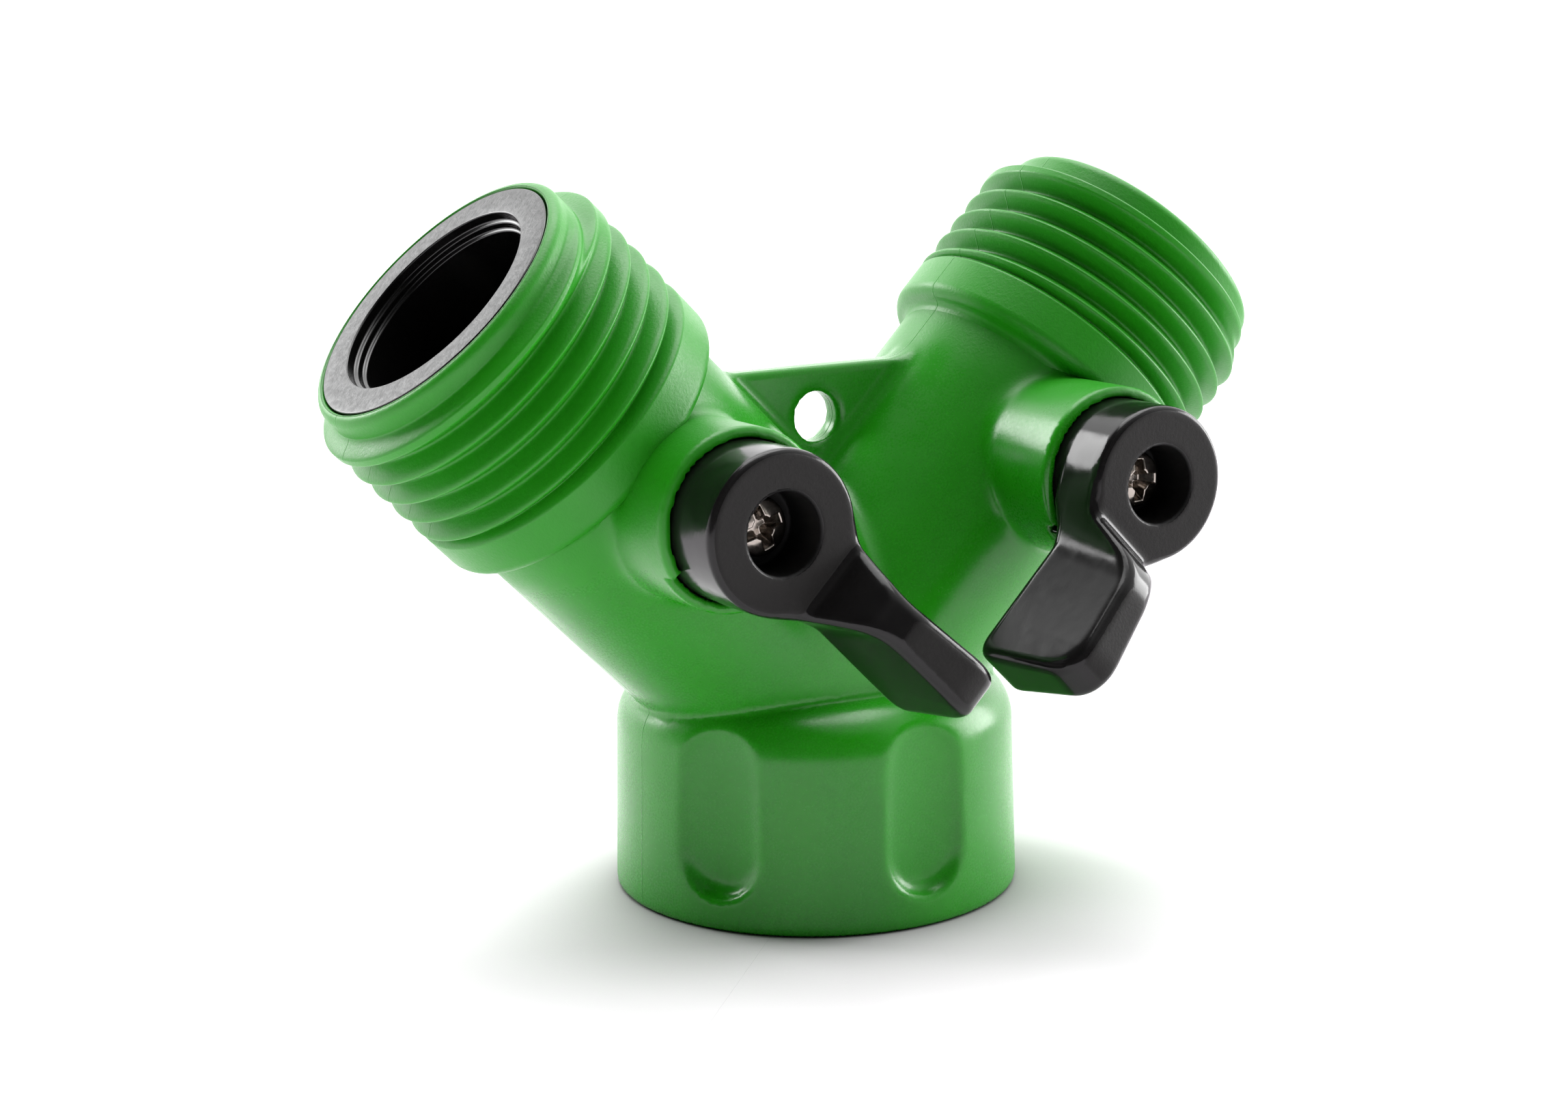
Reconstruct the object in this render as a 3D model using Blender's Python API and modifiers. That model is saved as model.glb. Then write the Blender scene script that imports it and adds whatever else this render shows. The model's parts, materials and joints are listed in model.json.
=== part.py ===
"""Two-way garden hose splitter with two quarter-turn ball valves.

The fitting stands on its inlet cuff.  The origin is on the cuff axis at the
cuff's lower face, +Z points up the cuff, the two outlet arms lean out along
-X (left) and +X (right) and the valve levers are on the -Y side.

Every valve is built in two local frames:
  arm frame    origin at the ball centre, +Z out along the arm to the outlet
  valve frame  origin at the ball centre, +Z out along the stem to the lever,
               +X from the stem towards the inlet (the lever's open position)
"""

import bmesh
import bpy
from math import asin, cos, pi, radians, sin, sqrt
from mathutils import Matrix, Vector

MM = 0.001

# ---- whole fitting -------------------------------------------------------
GAP = 0.30 * MM                     # clearance between neighbouring pieces
CUT_PAST = 2.0 * MM                 # how far cutters run past the face they open
ARM_TILT = radians(45.0)            # arm axis from the vertical
ARMS_MEET_Z = 17.55 * MM            # height where both arm axes cross the cuff axis
BALL_DISTANCE = 24.25 * MM          # arm axis crossing to ball centre
OUTLET_DISTANCE = 46.74 * MM        # arm axis crossing to outlet face
OUTLET_AHEAD = OUTLET_DISTANCE - BALL_DISTANCE

# ---- garden hose thread, 3/4 inch ---------------------------------------
THREAD_PITCH = 2.209 * MM
THREAD_MAJOR = 13.45 * MM
THREAD_CORE = 12.30 * MM
THREAD_TURNS = 4.25
THREAD_STEPS = 24
THREAD_FADE_TURNS = 0.35
THREAD_FADE_START = 0.12            # share of the full height at the very ends
THREAD_SINK = 0.35 * MM             # how far the ridge is rooted in the core
THREAD_CREST_WIDTH = 0.50 * MM
THREAD_ROOT_WIDTH = 1.75 * MM
THREAD_FIRST_CREST = 2.60 * MM      # behind the outlet face
RIM_RADIUS = 11.95 * MM
RIM_ROUND = 0.90 * MM
LEAD_IN = 1.60 * MM
COLLAR_RADIUS = 13.45 * MM
COLLAR_START = 12.20 * MM           # behind the outlet face
COLLAR_END = 16.60 * MM
COLLAR_ROUND = 1.60 * MM
ARM_RADIUS = 11.75 * MM
ARM_ROOT_OVERLAP = 4.00 * MM

# ---- inlet cuff ----------------------------------------------------------
CUFF_RADIUS = 16.75 * MM
CUFF_TOP_RADIUS = 16.40 * MM
CUFF_STRAIGHT = 13.90 * MM
CUFF_SHOULDER = 4.00 * MM
CUFF_CROWN = 18.40 * MM
CUFF_EDGE = 0.50 * MM
SOCKET_DEPTH = 13.60 * MM
SOCKET_RADIUS = 12.60 * MM
SOCKET_THREAD = 13.60 * MM
SOCKET_MOUTH = 13.75 * MM
SOCKET_MOUTH_DEPTH = 1.30 * MM
SOCKET_TURNS = 2.75
SOCKET_FIRST_CREST = 1.80 * MM
SOCKET_MOUTH_TAPER = 1.00 * MM
INLET_PASSAGE = 7.50 * MM
INLET_PASSAGE_TOP = ARMS_MEET_Z + 1.50 * MM
INLET_PASSAGE_TAPER = 2.00 * MM
GRIP_BEARINGS = (-150.0, -90.0, 30.0, 90.0)   # degrees round the cuff from +X
GRIP_CUTTER_RADIUS = 14.0 * MM
GRIP_CUTTER_END = 10.0 * MM
GRIP_DEPTH = 1.05 * MM
GRIP_STRAIGHT = 5.0 * MM
GRIP_HEIGHT = 9.40 * MM
WASHER_OUTER = 12.20 * MM
WASHER_INNER = 7.90 * MM
WASHER_THICKNESS = 3.00 * MM
WASHER_EDGE = 0.40 * MM

# ---- web between the arms ------------------------------------------------
WEB_HALF_THICKNESS = 1.07 * MM
WEB_TOP = 43.0 * MM
WEB_BOTTOM = 30.0 * MM
WEB_INSET = 3.0 * MM
WEB_HOLE_Z = 38.85 * MM
WEB_HOLE_RADIUS = 2.06 * MM

# ---- valve chamber, measured from the ball centre along the arm ----------
BALL_RADIUS = 8.20 * MM
BALL_PORT = 5.20 * MM
BALL_SLOT_WIDTH = 3.20 * MM
BALL_SLOT_FLOOR = 6.00 * MM
CHAMBER_RADIUS = 10.00 * MM
CHAMBER_FLOOR = 8.90 * MM
ARM_PASSAGE = 6.00 * MM
SEAT_OUTER = 9.70 * MM
SEAT_INNER = 5.60 * MM
SEAT_NEAR = 5.75 * MM
SEAT_FAR = 8.60 * MM
RETAINER_FLANGE = 10.95 * MM
RETAINER_FLANGE_DEPTH = 3.00 * MM
RETAINER_BARREL = 9.70 * MM
RETAINER_BORE = 7.60 * MM
RETAINER_MOUTH = 8.59 * MM
RETAINER_STEP = 8.15 * MM
RETAINER_STEP_1 = 1.10 * MM
RETAINER_STEP_2 = 2.10 * MM
RETAINER_GROOVE_FLOOR = 8.35 * MM
RETAINER_GROOVE_WIDTH = 1.80 * MM
RETAINER_GROOVE_BEHIND = 8.00 * MM  # behind the outlet face
RETAINER_RING_RADIUS = 9.18 * MM
RETAINER_RING_SECTION = 0.50 * MM

# ---- valve boss, stem and lever, measured from the ball centre outwards --
BOSS_RADIUS = 7.10 * MM
BOSS_RIM = 18.20 * MM
BOSS_EDGE = 0.20 * MM
BOSS_ROOT = 2.00 * MM
COUNTERBORE_RADIUS = 6.45 * MM
COUNTERBORE_FLOOR = 14.60 * MM
STOP_FLOOR = 16.90 * MM
STOP_LUG_HALF = 1.30 * MM
STOP_LUG_REACH = 7.00 * MM
STOP_LUG_BOTTOM = 17.20 * MM
STEM_BORE = 4.50 * MM
STEM_RADIUS = 4.20 * MM
STEM_POCKET_RADIUS = 5.60 * MM
STEM_POCKET_TOP = 10.00 * MM
STEM_POCKET_ROOT = 4.00 * MM        # inside the ball chamber
STEM_FLANGE_RADIUS = 5.25 * MM
STEM_FLANGE_BOTTOM = 8.60 * MM
STEM_FLANGE_TOP = 9.70 * MM
STEM_TONGUE_HALF = 1.25 * MM
STEM_TONGUE_REACH = 3.70 * MM
STEM_TONGUE_END = 6.30 * MM
STEM_SHOULDER = 14.30 * MM
STEM_TOP = 18.00 * MM
STEM_SQUARE = 4.60 * MM
JOIN_OVERLAP = 0.50 * MM            # how deep joined forms reach into each other
STEM_PILOT = 1.40 * MM
STEM_PILOT_END = 12.50 * MM
STEM_GROOVE_FLOOR = 2.75 * MM
STEM_GROOVE_HEIGHT = 12.10 * MM
STEM_GROOVE_WIDTH = 1.80 * MM
STEM_RING_RADIUS = 3.60 * MM
STEM_RING_SECTION = 0.50 * MM
HUB_RADIUS = 6.15 * MM
HUB_BOTTOM = 14.90 * MM
HUB_FACE = 23.64 * MM
HUB_EDGE = 0.45 * MM
HUB_RECESS = 3.10 * MM
HUB_RECESS_FLOOR = 19.30 * MM
HUB_SOCKET_TOP = 18.30 * MM
HUB_SOCKET = STEM_SQUARE + 2.0 * GAP
HUB_SCREW_HOLE = 1.40 * MM
HUB_CHORD = 4.60 * MM               # the hub face is cut away beyond this
NECK_BOTTOM = 20.40 * MM
NECK_TOP = 22.20 * MM
BLADE_BACK = 20.50 * MM             # the blade is thickest here
BLADE_BACK_HALF = 2.75 * MM
BLADE_FRONT = 29.50 * MM            # and drafted to its thinnest here
BLADE_FRONT_HALF = 1.80 * MM
BLADE_EDGE = 0.50 * MM
SCREW_HEAD_RADIUS = 2.80 * MM
SCREW_HEAD_TOP = 20.90 * MM
SCREW_HEAD_BOTTOM = 19.60 * MM
SCREW_HEAD_EDGE = 0.30 * MM
SCREW_POINT = 1.20 * MM
SCREW_SHANK = 1.10 * MM
SCREW_TIP = 12.90 * MM
SCREW_CROSS_REACH = 1.90 * MM
SCREW_CROSS_HALF = 0.42 * MM
SCREW_CROSS_DEPTH = 0.95 * MM

# outline of the blade: distance along the lever, height above the ball centre
BLADE_OUTLINE = (
    (4.2, 20.6), (17.6, 20.5), (18.8, 20.9), (19.4, 21.9), (19.3, 23.0),
    (18.6, 28.0), (17.9, 29.7), (16.5, 30.6), (14.9, 30.5), (9.0, 29.2),
    (7.8, 28.6), (7.1, 27.3), (6.7, 24.0), (6.3, 22.5), (4.2, 22.1),
)
# outline of the neck between hub and blade: distance along, half width
NECK_OUTLINE = ((3.9, 4.5), (5.0, 3.5), (6.2, 3.0), (7.6, 2.7), (9.2, 2.4))

SIDES = (("left", -1.0), ("right", 1.0))


# ---- materials -----------------------------------------------------------
def make_material(name, colour, roughness, metallic=0.0):
    material = bpy.data.materials.new(name)
    material.use_nodes = True
    material.diffuse_color = (*colour, 1.0)
    shader = material.node_tree.nodes["Principled BSDF"]
    shader.inputs["Base Color"].default_value = (*colour, 1.0)
    shader.inputs["Roughness"].default_value = roughness
    shader.inputs["Metallic"].default_value = metallic
    return material


def green_plastic(name):
    return make_material(name, (0.035, 0.27, 0.03), 0.38)


def black_plastic(name):
    return make_material(name, (0.012, 0.012, 0.013), 0.35)


def dark_rubber(name):
    return make_material(name, (0.02, 0.02, 0.021), 0.75)


def nickel_steel(name):
    return make_material(name, (0.50, 0.47, 0.43), 0.30, 1.0)


# ---- collections and object plumbing ------------------------------------
def clear_scene():
    for item in list(bpy.data.objects):
        bpy.data.objects.remove(item, do_unlink=True)


def new_collection(name):
    collection = bpy.data.collections.new(name)
    bpy.context.scene.collection.children.link(collection)
    return collection


def place(item, frame):
    item.parent = frame
    return item


def mesh_object(name, bm, collection, material=None, smooth=True):
    """Turn a bmesh into an object of the given collection."""
    bmesh.ops.recalc_face_normals(bm, faces=bm.faces)
    mesh = bpy.data.meshes.new(name)
    bm.to_mesh(mesh)
    bm.free()
    if smooth:
        mesh.shade_smooth()
        mesh.set_sharp_from_angle(angle=radians(32.0))
    item = bpy.data.objects.new(name, mesh)
    collection.objects.link(item)
    if material:
        mesh.materials.append(material)
    return item


def as_cutter(item):
    item.hide_render = True
    item.display_type = 'WIRE'
    return item


def lathe(name, profile, steps, collection, material=None, start=0.0):
    """Solid of revolution about local Z from a radius/height profile.

    A profile that starts and ends on the axis makes a solid; a profile whose
    last point repeats the first makes a ring.  Both run down the outer side.
    start turns the first facet edge away from local +X.
    """
    mesh = bpy.data.meshes.new(name)
    ring = profile[0] == profile[-1]
    points = profile[:-1] if ring else profile
    count = len(points)
    last = count if ring else count - 1
    edges = [(i, (i + 1) % count) for i in range(last)]
    corners = [(r * cos(start), r * sin(start), z) for r, z in points]
    mesh.from_pydata(corners, edges, [])
    item = bpy.data.objects.new(name, mesh)
    collection.objects.link(item)
    if material:
        mesh.materials.append(material)
    screw = item.modifiers.new("Revolve", 'SCREW')
    screw.angle = 2.0 * pi
    screw.steps = steps
    screw.render_steps = steps
    screw.use_merge_vertices = True
    screw.merge_threshold = 0.00001
    screw.use_smooth_shade = True
    return item


def boolean(item, tool, operation):
    step = item.modifiers.new(operation.title() + " " + tool.name, 'BOOLEAN')
    step.operation = operation
    step.solver = 'EXACT'
    step.object = tool
    return item


def cut(item, tool):
    return boolean(item, as_cutter(tool), 'DIFFERENCE')


def join(item, tool):
    return boolean(item, as_cutter(tool), 'UNION')


def box(name, low, high, collection, material=None):
    bm = bmesh.new()
    bmesh.ops.create_cube(bm, size=1.0)
    size = Vector(high) - Vector(low)
    centre = (Vector(high) + Vector(low)) / 2.0
    bmesh.ops.scale(bm, vec=size, verts=bm.verts)
    bmesh.ops.translate(bm, vec=centre, verts=bm.verts)
    return mesh_object(name, bm, collection, material, smooth=False)


def prism(name, outline, to_point, depth, collection, material=None):
    """Flat outline mapped into space by to_point, extruded along depth."""
    bm = bmesh.new()
    corners = [bm.verts.new(to_point(a, b)) for a, b in outline]
    base = bm.faces.new(corners)
    grown = bmesh.ops.extrude_face_region(bm, geom=[base])
    moved = [v for v in grown["geom"] if isinstance(v, bmesh.types.BMVert)]
    bmesh.ops.translate(bm, vec=depth, verts=moved)
    return mesh_object(name, bm, collection, material, smooth=False)


def empty(name, matrix, collection):
    item = bpy.data.objects.new(name, None)
    item.matrix_world = matrix
    item.empty_display_size = 0.01
    collection.objects.link(item)
    return item


# ---- local frames --------------------------------------------------------
def ball_centre(side):
    return Vector((side * BALL_DISTANCE * sin(ARM_TILT), 0.0,
                   ARMS_MEET_Z + BALL_DISTANCE * cos(ARM_TILT)))


def arm_matrix(side):
    out = Vector((side * sin(ARM_TILT), 0.0, cos(ARM_TILT)))
    across = Vector((0.0, -1.0, 0.0))
    return frame_matrix(across, out.cross(across), out, ball_centre(side))


def valve_matrix(side):
    out = Vector((0.0, -1.0, 0.0))
    along = Vector((-side * sin(ARM_TILT), 0.0, -cos(ARM_TILT)))
    return frame_matrix(along, out.cross(along), out, ball_centre(side))


def frame_matrix(x_axis, y_axis, z_axis, origin):
    matrix = Matrix((x_axis, y_axis, z_axis)).transposed().to_4x4()
    matrix.translation = origin
    return matrix


# ---- thread --------------------------------------------------------------
def thread_ridge(name, turns, start, major, core, rise, collection):
    """Helical ridge about local Z, fading in and out of the core.

    The section is a loft between unlike sections: full height along the
    thread and almost nothing at both ends.  The helix is right-handed and
    leaves its start upwards when rise is +1, downwards when it is -1.
    """
    bm = bmesh.new()
    steps = int(turns * THREAD_STEPS)
    root = core - THREAD_SINK
    rings = []
    for i in range(steps + 1):
        turn = i / THREAD_STEPS
        edge = min(turn, turns - turn) / THREAD_FADE_TURNS
        height = THREAD_FADE_START + (1.0 - THREAD_FADE_START) * min(1.0, edge)
        crest = core + (major - core) * height
        angle = rise * 2.0 * pi * turn
        z = start + rise * THREAD_PITCH * turn
        half_crest = THREAD_CREST_WIDTH / 2.0
        half_root = THREAD_ROOT_WIDTH / 2.0
        section = ((root, -half_root), (crest, -half_crest),
                   (crest, half_crest), (root, half_root))
        rings.append([bm.verts.new((r * cos(angle), r * sin(angle), z + dz))
                      for r, dz in section])
    for first, second in zip(rings, rings[1:]):
        for k in range(4):
            n = (k + 1) % 4
            bm.faces.new((first[k], first[n], second[n], second[k]))
    bm.faces.new(rings[0])
    bm.faces.new(list(reversed(rings[-1])))
    return mesh_object(name, bm, collection)


# ---- body ----------------------------------------------------------------
def quarter_round(centre_r, centre_z, radius, start, stop, count):
    points = []
    for i in range(count + 1):
        angle = start + (stop - start) * i / count
        points.append((centre_r + radius * cos(angle), centre_z + radius * sin(angle)))
    return points


def cuff_blank(collection, material):
    profile = [(0.0, CUFF_CROWN)]
    shoulder_r = CUFF_TOP_RADIUS - CUFF_SHOULDER
    profile += quarter_round(shoulder_r, CUFF_STRAIGHT, CUFF_SHOULDER, pi / 2.0, 0.0, 4)
    profile += [(CUFF_RADIUS, CUFF_EDGE), (CUFF_RADIUS - CUFF_EDGE, 0.0), (0.0, 0.0)]
    return lathe("y_body", profile, 48, collection, material)


def arm_blank(label, frame, collection):
    """Outer form of one arm: rim, thread core, collar and tube."""
    out = OUTLET_AHEAD
    profile = [(0.0, out)]
    profile += quarter_round(RIM_RADIUS - RIM_ROUND, out - RIM_ROUND, RIM_ROUND,
                             pi / 2.0, 0.0, 3)
    profile += [(THREAD_CORE, out - LEAD_IN),
                (THREAD_CORE, out - COLLAR_START),
                (COLLAR_RADIUS, out - COLLAR_START)]
    profile += quarter_round(COLLAR_RADIUS - COLLAR_ROUND, out - COLLAR_END + COLLAR_ROUND,
                             COLLAR_ROUND, 0.0, -pi / 2.0, 3)
    profile += [(ARM_RADIUS, out - COLLAR_END),
                (ARM_RADIUS, -BALL_DISTANCE - ARM_ROOT_OVERLAP),
                (0.0, -BALL_DISTANCE - ARM_ROOT_OVERLAP)]
    return place(lathe(label + "_arm_blank", profile, 36, collection, start=radians(1.0)), frame)


def arm_bore(label, frame, collection):
    """Passage, valve chamber and retainer pocket of one arm."""
    out = OUTLET_AHEAD
    pocket = RETAINER_FLANGE + GAP
    profile = [(0.0, out + CUT_PAST),
               (pocket, out + CUT_PAST),
               (pocket, out - RETAINER_FLANGE_DEPTH - GAP),
               (CHAMBER_RADIUS, out - RETAINER_FLANGE_DEPTH - GAP),
               (CHAMBER_RADIUS, -CHAMBER_FLOOR),
               (ARM_PASSAGE, -CHAMBER_FLOOR),
               (ARM_PASSAGE, -BALL_DISTANCE),
               (0.0, -BALL_DISTANCE)]
    return place(lathe(label + "_arm_bore", profile, 32, collection, start=radians(1.5)), frame)


def boss_blank(label, frame, collection):
    profile = [(0.0, BOSS_RIM), (BOSS_RADIUS - BOSS_EDGE, BOSS_RIM),
               (BOSS_RADIUS, BOSS_RIM - BOSS_EDGE), (BOSS_RADIUS, BOSS_ROOT), (0.0, BOSS_ROOT)]
    return place(lathe(label + "_boss_blank", profile, 30, collection, start=radians(2.0)), frame)


def boss_bore(label, frame, collection):
    """Counterbore for the lever hub, stem bore and inner stem pocket."""
    top = BOSS_RIM + CUT_PAST
    profile = [(0.0, top), (COUNTERBORE_RADIUS, top),
               (COUNTERBORE_RADIUS, COUNTERBORE_FLOOR),
               (STEM_BORE, COUNTERBORE_FLOOR),
               (STEM_BORE, STEM_POCKET_TOP),
               (STEM_POCKET_RADIUS, STEM_POCKET_TOP),
               (STEM_POCKET_RADIUS, STEM_POCKET_ROOT), (0.0, STEM_POCKET_ROOT)]
    return place(lathe(label + "_boss_bore", profile, 28, collection, start=radians(3.0)), frame)


def stop_sector(label, side, frame, collection):
    """Wedge taken out of the boss rim where the lever lug travels.

    Its two end faces are the stops of the quarter turn: the lug of the
    lever lies against one when open and against the other when closed.
    """
    reach = BOSS_RADIUS + CUT_PAST
    margin = asin((STOP_LUG_HALF + GAP) / COUNTERBORE_RADIUS)
    sweep = pi / 2.0 + 2.0 * margin
    turn = closing_sense(side)
    outline = [(0.0, 0.0)]
    count = 8
    for i in range(count + 1):
        angle = turn * (-margin + sweep * i / count)
        outline.append((reach * cos(angle), reach * sin(angle)))
    tool = prism(label + "_stop_sector", outline,
                 lambda a, b: (a, b, STOP_FLOOR),
                 (0.0, 0.0, BOSS_RIM + CUT_PAST - STOP_FLOOR), collection)
    return place(tool, frame)


def closing_sense(side):
    """+1 when closing turns from local +X towards local +Y of the valve frame."""
    closed = Vector((side * sin(ARM_TILT), 0.0, -cos(ARM_TILT)))
    local = valve_matrix(side).to_3x3().transposed() @ closed
    return 1.0 if local.y > 0.0 else -1.0


def web_blank(collection):
    """Flat plate filling the fork between the arms."""
    def half_width(z):
        return (z - ARMS_MEET_Z) - ARM_RADIUS / cos(ARM_TILT) + WEB_INSET
    top = half_width(WEB_TOP)
    outline = [(-top, WEB_TOP), (top, WEB_TOP), (WEB_INSET, WEB_BOTTOM), (-WEB_INSET, WEB_BOTTOM)]
    return prism("web_blank", outline, lambda a, b: (a, -WEB_HALF_THICKNESS, b),
                 (0.0, 2.0 * WEB_HALF_THICKNESS, 0.0), collection)


def web_hole(collection):
    bm = bmesh.new()
    through = 2.0 * (WEB_HALF_THICKNESS + CUT_PAST)
    bmesh.ops.create_cone(bm, cap_ends=True, segments=32, radius1=WEB_HOLE_RADIUS,
                          radius2=WEB_HOLE_RADIUS, depth=through)
    item = mesh_object("web_hole_cutter", bm, collection)
    item.rotation_euler = (pi / 2.0, 0.0, 0.0)
    item.location = (0.0, 0.0, WEB_HOLE_Z)
    return item


def inlet_socket(collection):
    profile = [(0.0, INLET_PASSAGE_TOP),
               (INLET_PASSAGE - INLET_PASSAGE_TAPER, INLET_PASSAGE_TOP),
               (INLET_PASSAGE, INLET_PASSAGE_TOP - INLET_PASSAGE_TAPER),
               (INLET_PASSAGE, SOCKET_DEPTH), (SOCKET_RADIUS, SOCKET_DEPTH),
               (SOCKET_RADIUS, SOCKET_MOUTH_DEPTH + SOCKET_MOUTH_TAPER),
               (SOCKET_MOUTH, SOCKET_MOUTH_DEPTH),
               (SOCKET_MOUTH, -CUT_PAST), (0.0, -CUT_PAST)]
    return lathe("inlet_socket", profile, 36, collection, start=radians(2.5))


def grip_cutter(bearing, collection):
    """Elongated ellipsoid that presses one finger grip into the cuff."""
    bm = bmesh.new()
    bmesh.ops.create_uvsphere(bm, u_segments=44, v_segments=22, radius=GRIP_CUTTER_RADIUS)
    bmesh.ops.scale(bm, vec=(1.0, 1.0, GRIP_CUTTER_END / GRIP_CUTTER_RADIUS), verts=bm.verts)
    for vertex in bm.verts:
        if abs(vertex.co.z) > 1.0e-6:
            vertex.co.z += GRIP_STRAIGHT / 2.0 * (1.0 if vertex.co.z > 0.0 else -1.0)
    item = mesh_object("grip_cutter", bm, collection)
    angle = radians(bearing)
    distance = CUFF_RADIUS + GRIP_CUTTER_RADIUS - GRIP_DEPTH
    item.location = (distance * cos(angle), distance * sin(angle), GRIP_HEIGHT)
    item.rotation_euler = (0.0, 0.0, angle)
    return item


def build_body(main, tools, frames):
    body = cuff_blank(main, green_plastic("body_green_plastic"))
    for label, side in SIDES:
        join(body, arm_blank(label, frames[label]["arm"], tools))
    for label, side in SIDES:
        join(body, boss_blank(label, frames[label]["valve"], tools))
    join(body, web_blank(tools))
    for label, side in SIDES:
        ridge = thread_ridge(label + "_thread", THREAD_TURNS,
                             OUTLET_AHEAD - THREAD_FIRST_CREST, THREAD_MAJOR,
                             THREAD_CORE, -1.0, tools)
        join(body, place(ridge, frames[label]["arm"]))
    for bearing in GRIP_BEARINGS:
        cut(body, grip_cutter(bearing, tools))
    cut(body, inlet_socket(tools))
    for label, side in SIDES:
        cut(body, arm_bore(label, frames[label]["arm"], tools))
        cut(body, boss_bore(label, frames[label]["valve"], tools))
        cut(body, stop_sector(label, side, frames[label]["valve"], tools))
    groove = thread_ridge("inlet_thread", SOCKET_TURNS, SOCKET_FIRST_CREST,
                          SOCKET_THREAD, SOCKET_RADIUS, 1.0, tools)
    cut(body, groove)
    cut(body, web_hole(tools))
    return body


# ---- pieces around the arm axis -----------------------------------------
def seat(name, direction, frame, collection):
    """Ring that seals against the ball, its face following the ball."""
    clearance = BALL_RADIUS + GAP
    face = []
    count = 2
    low = SEAT_NEAR
    high = sqrt(clearance ** 2 - SEAT_INNER ** 2)
    for i in range(count + 1):
        z = high + (low - high) * i / count
        face.append((sqrt(clearance ** 2 - z ** 2), z))
    profile = face + [(SEAT_OUTER, low), (SEAT_OUTER, SEAT_FAR), (SEAT_INNER, SEAT_FAR)]
    profile = [(r, direction * z) for r, z in profile]
    if direction > 0.0:
        profile.reverse()
    profile.append(profile[0])
    return place(lathe(name, profile, 28, collection, dark_rubber(name + "_black_rubber")), frame)


def retainer(name, frame, collection):
    """Pressed-in black ring that closes the chamber at the outlet."""
    out = OUTLET_AHEAD
    groove = out - RETAINER_GROOVE_BEHIND
    half = RETAINER_GROOVE_WIDTH / 2.0
    end = SEAT_FAR + GAP
    profile = [(RETAINER_MOUTH, out), (RETAINER_FLANGE, out),
               (RETAINER_FLANGE, out - RETAINER_FLANGE_DEPTH),
               (RETAINER_BARREL, out - RETAINER_FLANGE_DEPTH),
               (RETAINER_BARREL, groove + half), (RETAINER_GROOVE_FLOOR, groove + half),
               (RETAINER_GROOVE_FLOOR, groove - half), (RETAINER_BARREL, groove - half),
               (RETAINER_BARREL, end), (RETAINER_BORE, end),
               (RETAINER_BORE, out - RETAINER_STEP_2),
               (RETAINER_STEP, out - RETAINER_STEP_2),
               (RETAINER_STEP, out - RETAINER_STEP_1),
               (RETAINER_MOUTH, out - RETAINER_STEP_1), (RETAINER_MOUTH, out)]
    return place(lathe(name, profile, 32, collection, black_plastic(name + "_black_plastic")), frame)


def o_ring(name, radius, section, height, frame, collection):
    count = 8
    profile = []
    for i in range(count):
        angle = -2.0 * pi * i / count
        profile.append((radius + section * cos(angle), height + section * sin(angle)))
    profile.append(profile[0])
    return place(lathe(name, profile, 24, collection, dark_rubber(name + "_black_rubber")), frame)


def washer(collection):
    """Flat hose washer against the roof of the inlet socket."""
    top = SOCKET_DEPTH - GAP
    bottom = top - WASHER_THICKNESS
    soft = WASHER_EDGE
    profile = [(WASHER_INNER, top), (WASHER_OUTER - soft, top), (WASHER_OUTER, top - soft),
               (WASHER_OUTER, bottom + soft), (WASHER_OUTER - soft, bottom),
               (WASHER_INNER, bottom), (WASHER_INNER, top)]
    return lathe("inlet_washer", profile, 32, collection, dark_rubber("inlet_washer_black_rubber"))


# ---- pieces that turn with the lever ------------------------------------
def ball(name, frame, main, tools):
    """Sphere with its port along the arm and the stem slot across it."""
    bm = bmesh.new()
    bmesh.ops.create_uvsphere(bm, u_segments=24, v_segments=14, radius=BALL_RADIUS)
    item = place(mesh_object(name, bm, main, black_plastic(name + "_black_plastic")), frame)
    port = bmesh.new()
    bmesh.ops.create_cone(port, cap_ends=True, segments=24, radius1=BALL_PORT,
                          radius2=BALL_PORT, depth=3.0 * BALL_RADIUS)
    bmesh.ops.rotate(port, verts=port.verts, cent=(0.0, 0.0, 0.0),
                     matrix=Matrix.Rotation(pi / 2.0, 3, 'Y'))
    cut(item, place(mesh_object(name + "_port", port, tools), frame))
    half = BALL_SLOT_WIDTH / 2.0
    past = BALL_RADIUS + CUT_PAST
    slot = box(name + "_slot", (-half, -past, BALL_SLOT_FLOOR), (half, past, past), tools)
    return cut(item, place(slot, frame))


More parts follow.
